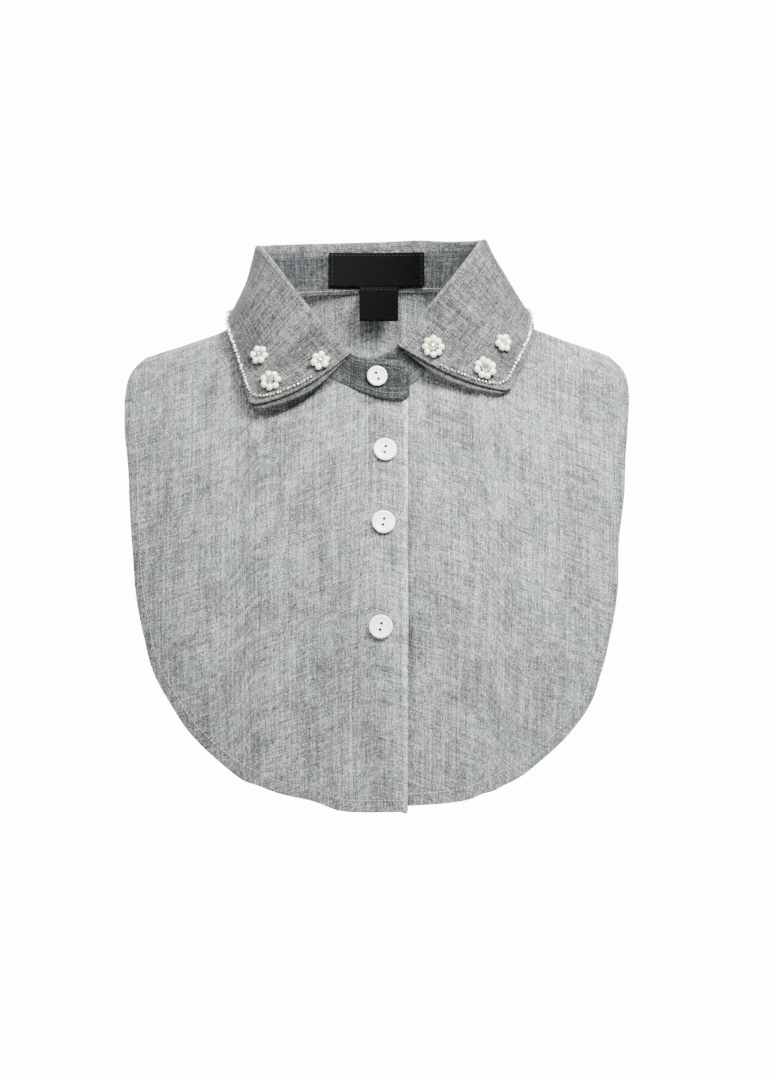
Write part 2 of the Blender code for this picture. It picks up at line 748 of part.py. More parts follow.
def panel_out(x, z):
    """Outward direction of the over panel."""
    step = 2 * MM
    across = Vector((2 * step, front_y(x + step, z, OVER) - front_y(x - step, z, OVER), 0))
    down = Vector((0, front_y(x, z - step, OVER) - front_y(x, z + step, OVER), -2 * step))
    return down.cross(across).normalized()


def buttons(finish, parts, cutters):
    for name, across, fall in BUTTONS:
        x, z = across * LAP_EDGE, -fall * BIB_LENGTH
        out = panel_out(x, z)
        place = Vector((x, front_y(x, z, OVER), z)) + out * (CLOTH / 2 + BUTTON_SHANK)
        button(name, BUTTON_RADIUS, place, out, finish, parts, cutters)
    turn = tab_turn(OVER, COLLAR_BUTTON_PAST)
    place = stand_point(turn, 0.5)
    rise = stand_point(turn, 0.6) - stand_point(turn, 0.4)
    across = stand_point(turn - 0.02, 0.5) - stand_point(turn + 0.02, 0.5)
    out = across.cross(rise).normalized()
    button("button_collar", COLLAR_BUTTON_RADIUS, place + out * (STAND_WALL / 2 + BUTTON_SHANK), out,
           finish, parts, cutters)


# Beads

def inset_place(side, down):
    """Place on the leaf where the string runs beside its front edge."""
    step = 0.05
    per_share = (leaf_point(side, down) - leaf_point(side * (1 - step), down)).length / step
    return side * (1 - TRIM_INSET_FRONT / per_share)


def inset_down(place):
    """Share down the leaf where the string runs beside its side and back edge."""
    inset = mix(TRIM_INSET_OVER, TRIM_INSET_UNDER, smooth(-0.3, 0.3, place))
    step = 0.1
    per_share = (leaf_point(place, 1) - leaf_point(place, 1 - step)).length / step
    return 1 - inset / per_share


def trim_half(side):
    """Places of the bead string on one side, from the throat to the point and on to the back."""
    front = (0.35, 0.44, 0.53, 0.62, 0.71, 0.79)
    places = [(inset_place(side, down), down) for down in front]
    turned = side * TRIM_TURN
    corner = inset_down(turned)
    for back, fall in ((0.1, 0.6), (0.45, 0.92)):
        places.append((mix(inset_place(side, corner), turned, back), mix(front[-1], corner, fall)))
    for share in shares(25)[:-1]:
        place = turned * (1 - share)
        places.append((place, inset_down(place)))
    return places


def trim_route():
    """Route of the bead string: in from each front edge, round each point and round the back."""
    lift = LEAF_WALL / 2 + TRIM_RADIUS + TRIM_GAP
    places = trim_half(OVER) + [(0, inset_down(0))] + trim_half(UNDER)[::-1]
    return [leaf_point(*place) + leaf_out(*place) * lift for place in places]


def bead_trim(finish, parts):
    curve = bpy.data.curves.new("bead_trim", "CURVE")
    curve.dimensions = "3D"
    curve.bevel_depth = TRIM_RADIUS
    curve.bevel_resolution = 2
    curve.use_fill_caps = True
    route = trim_route()
    spline = curve.splines.new("POLY")
    spline.points.add(len(route) - 1)
    for knot, point in zip(spline.points, route):
        knot.co = (*point, 1)
    return add("bead_trim", curve, finish, parts)


def pearl_flower(name, place, down, petals, turn, finish, parts):
    """Ring of pearls that touch, fused where they meet, sewn flat on the leaf."""
    out = leaf_out(place, down)
    centre = leaf_point(place, down) + out * (LEAF_WALL / 2 + PEARL_RADIUS + GAP)
    across = out.orthogonal().normalized()
    up = out.cross(across)
    ring = PEARL_RADIUS * PEARL_MEET / math.sin(math.pi / petals)
    made = None
    for n in range(petals):
        swing = math.tau * n / petals + math.radians(turn)
        mesh = bpy.data.meshes.new(name)
        bm = bmesh.new()
        bmesh.ops.create_uvsphere(bm, u_segments=10, v_segments=4, radius=PEARL_RADIUS)
        spot = centre + ring * (across * math.cos(swing) + up * math.sin(swing))
        spin = Matrix.Rotation(swing * 1.7, 4, "Z") @ Matrix.Rotation(swing, 4, "X")
        bmesh.ops.transform(bm, matrix=Matrix.Translation(spot) @ spin, verts=bm.verts)
        bm.to_mesh(mesh)
        bm.free()
        mesh.shade_smooth()
        pearl = bpy.data.objects.new(name, mesh)
        if made is None:
            made = pearl
            made.data.materials.append(finish)
            parts.objects.link(made)
            continue
        parts.objects.link(pearl)
        join = made.modifiers.new("join", "BOOLEAN")
        join.operation = "UNION"
        join.object = pearl
        join.solver = "EXACT"
        bpy.context.view_layer.update()
        fused = bpy.data.meshes.new_from_object(made.evaluated_get(bpy.context.evaluated_depsgraph_get()))
        made.modifiers.clear()
        made.data = fused
        bpy.data.objects.remove(pearl)
    return made


def build():
    for old in list(bpy.data.objects):
        bpy.data.objects.remove(old)
    parts, cutters = collection("dickey"), collection("cutters")
    chambray = material("chambray", CHAMBRAY, 0.9)
    black = material("label_satin", LABEL_BLACK, 0.6)
    white = material("button_resin", BUTTON_WHITE, 0.25)
    pearl = material("pearl", PEARL_CREAM, 0.2)
    silver = material("bead_silver", BEAD_SILVER, 0.25, 0.8)
    front_panel("front_over", OVER, LAP_EDGE, -BIB_LENGTH, chambray, parts)
    front_panel("front_under", UNDER, UNDER_EDGE, HEM_STEP - BIB_LENGTH, chambray, parts)
    back_panel(chambray, parts)
    collar_stand(chambray, parts)
    collar_leaf(chambray, parts)
    neck_label(black, parts)
    care_label(black, parts)
    buttons(white, parts, cutters)
    bead_trim(silver, parts)
    for name, place, down, petals, turn in FLOWERS:
        pearl_flower(name, place, down, petals, turn, pearl, parts)


build()
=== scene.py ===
# %% [markdown]
# # A beaded dickey in grey chambray
# A dickey is a false shirt front: a collar, two short fronts that button together and a short
# back. This lesson dresses a plain solid model of one. The solid model gives every size, and each
# piece made here stands exactly where its solid does, so nothing has to be fitted by eye.

# %% Load the solid model
import math
import random

import bpy
import numpy as np
from mathutils import Matrix, Vector, noise
from mathutils.bvhtree import BVHTree


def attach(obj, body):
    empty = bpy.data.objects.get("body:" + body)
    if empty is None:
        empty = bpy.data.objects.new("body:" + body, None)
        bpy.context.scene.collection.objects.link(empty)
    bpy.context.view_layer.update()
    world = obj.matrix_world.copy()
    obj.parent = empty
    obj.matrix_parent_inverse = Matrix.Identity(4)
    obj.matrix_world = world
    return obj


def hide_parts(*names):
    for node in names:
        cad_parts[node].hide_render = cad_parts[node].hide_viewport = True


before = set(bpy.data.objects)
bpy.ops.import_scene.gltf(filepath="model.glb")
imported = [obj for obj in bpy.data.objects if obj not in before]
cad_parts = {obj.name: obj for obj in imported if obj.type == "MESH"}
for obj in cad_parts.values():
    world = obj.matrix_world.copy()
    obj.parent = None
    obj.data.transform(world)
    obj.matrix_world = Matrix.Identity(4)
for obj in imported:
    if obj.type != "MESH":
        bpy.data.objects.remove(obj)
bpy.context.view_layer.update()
MM = 0.001

# %% [markdown]
# ## Smooth curves through a few numbers
# A pattern maker writes down a few measures and draws a smooth line through them. These helpers
# do the same: a table has a row for each measure, and `through` reads it at any place between.

# %% Curve helpers
OVER, UNDER = -1, 1


def smooth(start, end, value):
    """0 at start, 1 at end and beyond it, and an even ease between them."""
    share = min(max((value - start) / (end - start), 0), 1)
    return share * share * (3 - 2 * share)


def mix(a, b, share):
    return a + (b - a) * share


def through(rows, column, key):
    """Value of one column of a table at a key of its first column, on a smooth curve."""
    keys = [row[0] for row in rows]
    values = [row[column] for row in rows]
    key = min(max(key, keys[0]), keys[-1])
    last = len(keys) - 1
    i = next((n for n in range(last) if key <= keys[n + 1]), last - 1)

    def slope(n):
        low, high = max(n - 1, 0), min(n + 1, last)
        return (values[high] - values[low]) / (keys[high] - keys[low])

    span = keys[i + 1] - keys[i]
    u = (key - keys[i]) / span
    rise = values[i + 1] - values[i]
    first, second = slope(i) * span, slope(i + 1) * span
    return (values[i] + first * u + (3 * rise - 2 * first - second) * u * u
            + (first + second - 2 * rise) * u ** 3)


def along_points(points, share):
    """Point at a share of the length of a smooth curve through the points."""
    lengths = [0]
    for a, b in zip(points, points[1:]):
        lengths.append(lengths[-1] + (b - a).length)
    rows = [(length, *point) for length, point in zip(lengths, points)]
    key = share * lengths[-1]
    return Vector([through(rows, column, key) for column in range(1, len(rows[0]))])


def round_off(distance, radius):
    """How much a rounded corner takes off, at a distance from the end."""
    if distance >= radius:
        return 0
    return radius - math.sqrt(max(radius ** 2 - (radius - distance) ** 2, 0))


def shares(count, power=1.0):
    """Even shares from 0 to 1, drawn towards 0 by a power above 1."""
    return [(n / count) ** power for n in range(count + 1)]


# %% [markdown]
# ## The collar ring
# The collar stands on a ring round the neck. A place on it is named by its turn from the middle
# of the back. The ring repeats the solid model's own rule, so the fine cloth that is made from
# it lies where the plain wall lay.

# %% Sizes of the collar ring
NECK_HALF_WIDTH = 68.5 * MM
NECK_HALF_DEPTH = 45 * MM
NECK_SIDE_HEIGHT = 18.5 * MM
NECK_BACK_HEIGHT = 22.5 * MM
NECK_DROP = 70 * MM
COLLAR_SHIFT = -3.5 * MM
COLLAR_ROLL = math.radians(1.6)
STAND_BACK = 25.8 * MM
STAND_SIDE = 27.3 * MM
STAND_FRONT = 22.2 * MM
STAND_FLARE = 2.5 * MM
STAND_LEAN = 2.5 * MM
LEAN_FROM = 0.4
VEE_ROUND = 20 * MM
TAB_PAST = 22.7 * MM
UNDER_PAST = 14 * MM
TAB_FALL = 0.11
TAB_LIFT = 1.8 * MM
TAB_CORNER = 8.5 * MM
LAP = 3.4 * MM
LAP_TURNS = {OVER: (140, 166), UNDER: (135, 160)}
LAP_BLEND = 30 * MM
SEAM_FALL = (
    # across, over, under
    (-0.35, 0.996, 0.993),
    (-0.13, 0.986, 0.988),
    (0.00, 0.950, 0.978),
    (0.21, 0.862, 0.930),
    (0.43, 0.722, 0.812),
    (0.64, 0.485, 0.530),
    (0.86, 0.210, 0.240),
    (1.00, 0.000, 0.000),
)


# %% Places on the collar ring
def collar_side(turn):
    return UNDER if turn > 0 else OVER


def lap_offset(turn):
    """Outward shift that lets the over end lie on the under end."""
    side = collar_side(turn)
    return -side * LAP / 2 * smooth(*LAP_TURNS[side], math.degrees(abs(turn)))


def ring_out(turn):
    return Vector((math.sin(turn) / NECK_HALF_WIDTH, math.cos(turn) / NECK_HALF_DEPTH, 0)).normalized()


def ring_plan(turn, rise):
    """Ring point seen from above, where rise is 0 at the neck seam and 1 at the top edge."""
    x = (NECK_HALF_WIDTH + STAND_FLARE * rise) * math.sin(turn)
    y = NECK_HALF_DEPTH * math.cos(turn) + STAND_LEAN * (rise - LEAN_FROM)
    return Vector((x, y, 0)) + ring_out(turn) * lap_offset(turn)


def rolled(x, height):
    return height + x * math.tan(COLLAR_ROLL)


def seam_height(turn):
    """Height of the neck seam."""
    x = NECK_HALF_WIDTH * math.sin(turn)
    if abs(turn) < math.pi / 2:
        height = mix(NECK_SIDE_HEIGHT, NECK_BACK_HEIGHT, math.cos(turn) ** 2)
    else:
        column = 1 if turn < 0 else 2
        height = NECK_SIDE_HEIGHT - NECK_DROP * through(SEAM_FALL, column, x / NECK_HALF_WIDTH * collar_side(turn))
    return rolled(x, height)


def past_middle(turn):
    """How far a turn is past the throat, sideways."""
    return max(-NECK_HALF_WIDTH * math.sin(turn) * collar_side(turn), 0) if abs(turn) > math.pi / 2 else 0


def stand_top(turn):
    """Height of the stand's top edge, before the lift of its bare ends."""
    x = (NECK_HALF_WIDTH + STAND_FLARE) * math.sin(turn)
    side = NECK_SIDE_HEIGHT + STAND_SIDE
    if abs(turn) < math.pi / 2:
        height = mix(side, NECK_BACK_HEIGHT + STAND_BACK, math.cos(turn) ** 2)
    else:
        throat = NECK_SIDE_HEIGHT - NECK_DROP + STAND_FRONT
        reach = math.hypot(NECK_HALF_WIDTH + STAND_FLARE, VEE_ROUND) - VEE_ROUND
        vee = 0 if past_middle(turn) else (math.hypot(x, VEE_ROUND) - VEE_ROUND) / reach
        height = mix(throat, side, vee) - TAB_FALL * past_middle(turn)
    return rolled(x, height)


# %% [markdown]
# ## The form under the cloth
# Worn cloth takes the shape of the shoulders and the chest. The panels below are laid on this
# form: a ridge along each shoulder, a depth that grows with the fall below it, and a pull that
# draws the cloth to the neck seam.

# %% Sizes of the form and the panels
BIB_HALF_WIDTH = 160 * MM
BIB_LENGTH = 306 * MM
HEM_STEP = 3.2 * MM
BACK_LENGTH = 245 * MM
LAP_EDGE = 18.5 * MM
UNDER_EDGE = -10 * MM
EDGE_SWAY = 1.9 * MM
STRIP_START = 12 * MM
SHOULDER_OVER = -9 * MM
SHOULDER_UNDER = -6 * MM
SHOULDER_AT = 100 * MM
SLOPE_OVER = 0.335
SLOPE_UNDER = 0.37
SHOULDER_BLEND = 0.8
NECK_SPREAD = 14 * MM
FORM_HALF_WIDTH = 185 * MM
FORM_FALL = 360 * MM
CHEST_DEPTH = 95 * MM
BUST = 8 * MM
BUST_FALL = 200 * MM
BUST_SPREAD = 90 * MM
BACK_DEPTH = 91 * MM
BACK_ROUND = 0.35
PULL_FALL = 40 * MM
PULL_BESIDE = 10 * MM
PULL_EASE = 2 * MM
FRONT_OUTLINE = (
    # fall, over, under
    (0.081, 0.925, 0.925),
    (0.101, 0.963, 0.971),
    (0.120, 0.984, 0.991),
    (0.152, 0.996, 1.000),
    (0.180, 1.000, 1.000),
    (0.235, 0.998, 0.992),
    (0.302, 0.983, 0.981),
    (0.376, 0.972, 0.974),
    (0.467, 0.956, 0.951),
    (0.565, 0.941, 0.944),
    (0.663, 0.906, 0.909),
    (0.729, 0.874, 0.880),
    (0.793, 0.806, 0.839),
    (0.856, 0.719, 0.750),
    (0.918, 0.586, 0.612),
    (0.949, 0.477, 0.511),
    (0.964, 0.391, 0.441),
    (0.979, 0.256, 0.348),
)
BACK_OUTLINE = (
    # fall, width
    (0.100, 0.925),
    (0.200, 0.930),
    (0.360, 0.905),
    (0.540, 0.872),
    (0.700, 0.815),
    (0.820, 0.710),
    (0.910, 0.545),
    (0.970, 0.325),
    (1.000, 0.000),
)


# %% Places on the form
def shoulder_line(x):
    """Height of the straight shoulder, carried across the neck."""
    over = SHOULDER_OVER - SLOPE_OVER * (abs(x) - SHOULDER_AT)
    under = SHOULDER_UNDER - SLOPE_UNDER * (abs(x) - SHOULDER_AT)
    return mix(over, under, smooth(-SHOULDER_BLEND, SHOULDER_BLEND, x / NECK_HALF_WIDTH))


NECK_RISE = [rolled(side * NECK_HALF_WIDTH, NECK_SIDE_HEIGHT) - shoulder_line(side * NECK_HALF_WIDTH + COLLAR_SHIFT)
             for side in (OVER, UNDER)]


def ridge_height(x):
    """Height of the top of the shoulder, which rises to the neck seam at each side."""
    from_collar = x - COLLAR_SHIFT
    share = min(max(from_collar / NECK_HALF_WIDTH / 2 + 0.5, 0), 1)
    away = max(abs(from_collar) - NECK_HALF_WIDTH, 0) / NECK_SPREAD
    return shoulder_line(x) + mix(*NECK_RISE, share) * math.exp(-away * away)


def form_depth(x, z, facing):
    """Distance of the form from the shoulder ridge, in front (-1) or behind (1)."""
    fall = max(ridge_height(x) - z, 0)
    turned = math.sqrt(max(1 - (x / FORM_HALF_WIDTH) ** 2, 0))
    if facing > 0:
        return BACK_DEPTH * (fall / FORM_FALL) ** BACK_ROUND * turned
    bust = BUST * math.exp(-((fall - BUST_FALL) / BUST_SPREAD) ** 2) * smooth(0, BUST_FALL, fall)
    return (CHEST_DEPTH * math.sqrt(fall / FORM_FALL) + bust) * turned


def seam_turn(x, facing, side):
    """Turn of the neck seam above or below a place seen from the front."""
    across = min(max((x - COLLAR_SHIFT) / NECK_HALF_WIDTH * side, -0.999), 0.999)
    return side * math.asin(across) if facing > 0 else side * (math.pi - math.asin(across))


def panel_y(x, z, facing, side=None):
    """Depth of the cloth at a place seen from the front, drawn to the neck seam near it."""
    from_collar = x - COLLAR_SHIFT
    turn = seam_turn(x, facing, side or (UNDER if from_collar > 0 else OVER))
    seam_x, seam_z = COLLAR_SHIFT + NECK_HALF_WIDTH * math.sin(turn), seam_height(turn)
    seam_depth = facing * (NECK_HALF_DEPTH * math.cos(turn) - LEAN_FROM * STAND_LEAN)
    pull = (seam_depth + PULL_EASE) / (form_depth(seam_x, seam_z, facing) + PULL_EASE) - 1
    below = max(seam_z - z, 0) / PULL_FALL
    beside = max(abs(from_collar) - NECK_HALF_WIDTH, 0) / PULL_BESIDE
    return facing * form_depth(x, z, facing) * (1 + pull * math.exp(-below - beside))


def lap_shift(x, side):
    """Depth shift of the two fronts where they lie on each other."""
    start, end = [COLLAR_SHIFT * side + NECK_HALF_WIDTH * math.sin(math.radians(turn))
                  for turn in LAP_TURNS[side]]
    return side * LAP / 2 * smooth(start, end, x * side)


def front_y(x, z, side):
    """Depth of a front; where the two lap, the under one follows the over one."""
    depth = panel_y(x, z, -1, side)
    if side == UNDER:
        apart = smooth(LAP_EDGE, LAP_EDGE + LAP_BLEND, x)
        depth = mix(panel_y(x, z, -1, OVER), depth, apart)
    return depth + lap_shift(x, side)


def edge_sway(z):
    return EDGE_SWAY * math.cos(math.tau * (z / BIB_LENGTH + 0.28))


# %% [markdown]
# ## The leaf of the collar
# The leaf is the part that turns down. Its edge is a table of places round the collar, and each
# row of cloth runs from the fold at the top to that edge in one soft bend.

# %% Sizes of the leaf
GAP = 0.35 * MM
ROLL_RISE_BACK = 5.0 * MM
ROLL_RISE_FRONT = 2.4 * MM
ROLL_RADIUS = 1.2 * MM
LEAF_START_OVER = 8.6 * MM
LEAF_START_UNDER = 13.6 * MM
LEAF_REACH = 100 * MM
LEAF_DEPTH = 60 * MM
LEAF_TURNS_FORWARD = 0.5
LEAF_LIFT = 5 * MM
POINT_ROUND_OVER = 1.5 * MM
POINT_ROUND_UNDER = 6 * MM
LEAF_EDGE = (
    # place, x, y, z, bulge, droop
    (-1.00, -0.780, None, -0.975, 0.20, 0.24),
    (-0.84, -0.865, None, -0.57, 0.12, 0.10),
    (-0.68, -0.930, None, -0.22, 0.00, 0.02),
    (-0.53, -0.955, 0.00, None, -0.07, 0.00),
    (-0.41, -0.900, 0.20, None, -0.02, 0.00),
    (-0.33, -0.820, 0.270, None, 0.04, 0.00),
    (-0.26, -0.710, None, -0.04, 0.08, 0.00),
    (-0.19, -0.560, None, 0.04, 0.09, 0.00),
    (-0.13, -0.400, None, 0.10, 0.10, 0.00),
    (0.00, -0.035, None, 0.13, 0.07, 0.00),
    (0.13, 0.330, None, 0.12, 0.10, 0.00),
    (0.20, 0.520, None, 0.07, 0.09, 0.00),
    (0.27, 0.690, None, -0.03, 0.08, 0.00),
    (0.34, 0.815, 0.270, None, 0.04, 0.00),
    (0.42, 0.920, 0.20, None, -0.02, 0.00),
    (0.54, 1.010, 0.00, None, -0.07, 0.00),
    (0.69, 0.990, None, -0.25, 0.00, 0.02),
    (0.85, 0.915, None, -0.52, 0.12, 0.08),
    (1.00, 0.828, None, -0.815, 0.20, 0.19),
)


# %% Places on the leaf
def form_top(x, y):
    """Height of the cloth at a place seen from above."""
    facing = 1 if y > 0 else -1
    low, high = ridge_height(x) - BIB_LENGTH, ridge_height(x)
    for _ in range(30):
        middle = (low + high) / 2
        if panel_y(x, middle, facing) * facing > y * facing:
            low = middle
        else:
            high = middle
    return high


def leaf_rows():
    """Edge points and middle offsets of the leaf, in metres."""
    rows = []
    for place, x_share, y_share, z_share, bulge, droop in LEAF_EDGE:
        x = x_share * LEAF_REACH
        if z_share is None:
            y = y_share * LEAF_REACH
            edge = Vector((x, y, form_top(x, y) + LEAF_LIFT))
        else:
            facing = 1 if abs(place) < LEAF_TURNS_FORWARD else -1
            z = z_share * LEAF_DEPTH
            edge = Vector((x, panel_y(x, z, facing) + facing * LEAF_LIFT, z))
        rows.append((place, *edge, bulge * LEAF_DEPTH, droop * LEAF_DEPTH))
    return rows


LEAF_ROWS = leaf_rows()


def leaf_turn(place):
    """Turn of the ring at a place of the leaf."""
    start = LEAF_START_UNDER if place > 0 else LEAF_START_OVER
    return place * (math.pi - math.asin(start / (NECK_HALF_WIDTH + STAND_FLARE)))


def roll_point(turn):
    """Top of the leaf's fold, in the middle of the cloth."""
    point = ring_plan(turn, 1) + ring_out(turn) * ROLL_RADIUS
    rise = mix(ROLL_RISE_FRONT, ROLL_RISE_BACK, (1 + math.cos(turn)) / 2)
    return Vector((point.x + COLLAR_SHIFT, point.y, stand_top(turn) + rise))


def leaf_point(place, down):
    """Middle of the leaf's cloth; down is 0 just outside the fold and 1 at the edge."""
    turn = leaf_turn(place)
    start = roll_point(turn) + ring_out(turn) * ROLL_RADIUS - Vector((0, 0, ROLL_RADIUS))
    end = Vector([through(LEAF_ROWS, column, place) for column in (1, 2, 3)])
    bulge, droop = through(LEAF_ROWS, 4, place), through(LEAF_ROWS, 5, place)
    for tip_row, corner in ((LEAF_ROWS[0], POINT_ROUND_OVER), (LEAF_ROWS[-1], POINT_ROUND_UNDER)):
        from_tip = (end - Vector(tip_row[1:4])).length
        down *= 1 - round_off(from_tip, corner) / (end - start).length
    middle = (start + end) / 2 + ring_out(turn) * bulge - Vector((0, 0, droop))
    return (1 - down) ** 2 * start + 2 * down * (1 - down) * middle + down ** 2 * end


def leaf_out(place, down):
    """Outward direction of the leaf's cloth."""
    step = 0.01
    across = leaf_point(min(place + step, 1), down) - leaf_point(max(place - step, -1), down)
    fall = leaf_point(place, min(down + step, 1)) - leaf_point(place, down - step)
    return across.cross(fall).normalized()


print("leaf points:", [[round(c / MM) for c in leaf_point(place, 1)] for place in (OVER, UNDER)], "mm")

# %% [markdown]
# ## The camera
# The photograph was taken level, from straight in front, at the height of the middle button. The
# lens follows from the size of the dickey in the frame and a distance of two metres.

# %% Camera
PHOTO_WIDTH, PHOTO_HEIGHT = 770, 1078
CAMERA_DISTANCE = 2.0
MM_PER_PIXEL = 0.64         # of the photo, in the plane of the shoulders
camera_data = bpy.data.cameras.new("camera")
camera_data.sensor_fit = "HORIZONTAL"
camera_data.sensor_width = 36
camera_data.lens = camera_data.sensor_width * CAMERA_DISTANCE / (PHOTO_WIDTH * MM_PER_PIXEL * MM)
camera = bpy.data.objects.new("camera", camera_data)
camera.location = (5.44 * MM, -CAMERA_DISTANCE, -140 * MM)
camera.rotation_euler = (math.pi / 2, 0, 0)
bpy.context.scene.collection.objects.link(camera)
bpy.context.scene.camera = camera
print("lens:", round(camera_data.lens), "mm")

# %% [markdown]
# ## Materials
# Each finish is a small tree of nodes. One helper adds a node and joins it to what feeds it, and
# one function turns the hex colours that a picture shows into the linear light a shader wants.


# %% Helpers for node trees
def linear(hex_colour):
    """Linear RGBA of an sRGB hex colour."""
    channels = [int(hex_colour[n:n + 2], 16) / 255 for n in (1, 3, 5)]
    return (*[c / 12.92 if c <= 0.04045 else ((c + 0.055) / 1.055) ** 2.4 for c in channels], 1)


def put(tree, kind, inputs=None, **settings):
    """Adds a node, sets it, and fills its inputs with values or with other nodes' outputs."""
    made = tree.nodes.new(kind)
    for key, value in settings.items():
        setattr(made, key, value)
    for key, value in (inputs or {}).items():
        if isinstance(value, bpy.types.NodeSocket):
            tree.links.new(value, made.inputs[key])
        else:
            made.inputs[key].default_value = value
    return made


def new_finish(name, **sockets):
    """Material with a Principled BSDF whose sockets are set by name."""
    made = bpy.data.materials.new(name)
    made.use_nodes = True
    shader = made.node_tree.nodes["Principled BSDF"]
    for key, value in sockets.items():
        shader.inputs[key.replace("_", " ")].default_value = value
    return made, made.node_tree, shader


def ramp(tree, factor, *stops):
    """Colour ramp through (place, hex colour) stops."""
    made = put(tree, "ShaderNodeValToRGB", {"Fac": factor})
    band = made.color_ramp
    while len(band.elements) < len(stops):
        band.elements.new(0.5)
    for element, (place, colour) in zip(band.elements, stops):
        element.position = place
        element.color = linear(colour)
    return made.outputs["Color"]


# %% [markdown]
# ### Grey chambray
# Chambray is a plain weave with a coloured thread one way and a white one across it. Here both
# are slubby and dyed unevenly, so the eye sees short light and dark flecks that run up and down
# and from side to side, over soft patches of cool and warm grey. The real threads are 0.3 mm
# apart, finer than the render shows, so the flecks are drawn 0.9 mm wide. The pattern reads a UV
# map in metres along the cloth.

# %% Chambray
THREAD = 0.80               # width of a fleck in mm
SLUB = 4.0                  # and its length
LONG_SLUB = 34              # length of the few long ones
PATCH = 24                  # size of a warm or cool patch in mm
FLECK_RANGE = 0.70          # a smaller range gives stronger flecks
PLY_AND_PAINTED_LIGHT_STEP = 0.2            # how much darker one step of the plies attribute looks; that attribute holds extra plies, painted shade and painted highlights


def threads(tree, coords, across, along, seed, detail=1.0):
    """Noise drawn out along one thread direction; sizes in mm, for u and v."""
    placed = put(tree, "ShaderNodeMapping", {
        "Vector": coords, "Location": (seed, seed * 0.7, 0), "Scale": (1000 / across, 1000 / along, 1)})
    return put(tree, "ShaderNodeTexNoise", {
        "Vector": placed.outputs["Vector"], "Scale": 1, "Detail": detail, "Roughness": 0.55},
        noise_dimensions="2D").outputs["Fac"]


def added(tree, *weighted):
    """Sum of (factor, weight) pairs, less half of all the weights."""
    total = -sum(weight for _, weight in weighted) / 2
    for factor, weight in weighted:
        total = put(tree, "ShaderNodeMath", {0: factor, 1: weight, 2: total}, operation="MULTIPLY_ADD").outputs[0]
    return total


def chambray(name, dark, middle, light, cool, warm):
    made, tree, shader = new_finish(name, Roughness=0.92, Sheen_Weight=0.12, Sheen_Roughness=0.5)
    shader.inputs["Specular IOR Level"].default_value = 0.2
    coords = put(tree, "ShaderNodeUVMap", uv_map="cloth").outputs["UV"]
    fleck = added(tree, (threads(tree, coords, THREAD, SLUB, 3.1), 0.8),
                  (threads(tree, coords, SLUB * 1.4, THREAD, 17.7), 0.65),
                  (threads(tree, coords, THREAD, THREAD, 41.3, 2.0), 1.7),
                  (threads(tree, coords, THREAD * 1.9, LONG_SLUB * 1.6, 71.9), 0.62),
                  (threads(tree, coords, LONG_SLUB * 1.2, THREAD * 1.9, 88.3), 0.46),
                  (threads(tree, coords, SLUB * 2, SLUB * 2, 53.9, 2.0), 0.45),
                  (threads(tree, coords, PATCH, PATCH * 1.6, 29.3, 3.0), 0.5))
    shade = put(tree, "ShaderNodeMapRange", {"Value": fleck, "From Min": -FLECK_RANGE, "From Max": FLECK_RANGE}).outputs["Result"]
    yarn = ramp(tree, shade, (0.08, dark), (0.5, middle), (0.92, light))
    tint = ramp(tree, threads(tree, coords, PATCH, PATCH * 1.3, 5.3, 2.0), (0.36, cool), (0.64, warm))
    tinted = put(tree, "ShaderNodeMix", {"Factor": 1.0, "A": yarn, "B": tint},
                 data_type="RGBA", blend_type="MULTIPLY")
    # The plies attribute darkens the cloth by its extra plies, and also carries painted shade (darker) and painted
    # highlights (paler) set on each piece.
    plies_and_light_value = put(tree, "ShaderNodeAttribute", attribute_name="plies_and_painted_light").outputs["Fac"]
    darker = put(tree, "ShaderNodeMath", {0: plies_and_light_value, 1: -PLY_AND_PAINTED_LIGHT_STEP, 2: 1.0}, operation="MULTIPLY_ADD").outputs[0]
    done = put(tree, "ShaderNodeVectorMath", {0: tinted.outputs["Result"], "Scale": darker}, operation="SCALE")
    tree.links.new(done.outputs["Vector"], shader.inputs["Base Color"])
    bump = put(tree, "ShaderNodeBump", {"Height": shade, "Strength": 0.5, "Distance": 0.3 * MM})
    tree.links.new(bump.outputs["Normal"], shader.inputs["Normal"])
    return made


CLOTH = chambray("cotton_chambray", "#2f3132", "#6d706f", "#b9bbb8", "#f3faf8", "#fbf5f5")
# The leaf and the stand are darker copies of the same chambray: partly the collar's own darker cloth, partly painted
# shade, strongest on the stand.
LEAF_CLOTH = chambray("leaf_chambray", "#191a1b", "#4b4d4d", "#8c8d8b", "#f8fafa", "#fbf7f6")
STAND_CLOTH = chambray("stand_chambray", "#0d0f10", "#2f3233", "#626665", "#f2faf9", "#fbf6f5")
print("made", CLOTH.name, LEAF_CLOTH.name, STAND_CLOTH.name)

# %% [markdown]
# ### Thread, labels, buttons and beads
# Sewing thread is a shade paler than the cloth. The labels are black satin, bare of any words.
# The buttons are polished white resin. The pearls are resin beads under pearl lacquer: creamy,
# with a soft gloss over a slightly uneven coat. Seed beads are glass lined with silver, so they
# glint like metal.

# %% Small finishes
def object_noise(tree, size_mm, detail=2.0):
    coords = put(tree, "ShaderNodeTexCoord").outputs["Object"]
    return put(tree, "ShaderNodeTexNoise", {"Vector": coords, "Scale": 1000 / size_mm, "Detail": detail}).outputs["Fac"]


def thread(name, dark, light):
    """Cotton sewing thread: its fibres are lighter and darker along it."""
    made, tree, shader = new_finish(name, Roughness=0.8)
    fibre = object_noise(tree, 0.9)
    tree.links.new(ramp(tree, fibre, (0.35, dark), (0.65, light)), shader.inputs["Base Color"])
    bump = put(tree, "ShaderNodeBump", {"Height": fibre, "Strength": 0.4, "Distance": 0.1 * MM})
    tree.links.new(bump.outputs["Normal"], shader.inputs["Normal"])
    return made


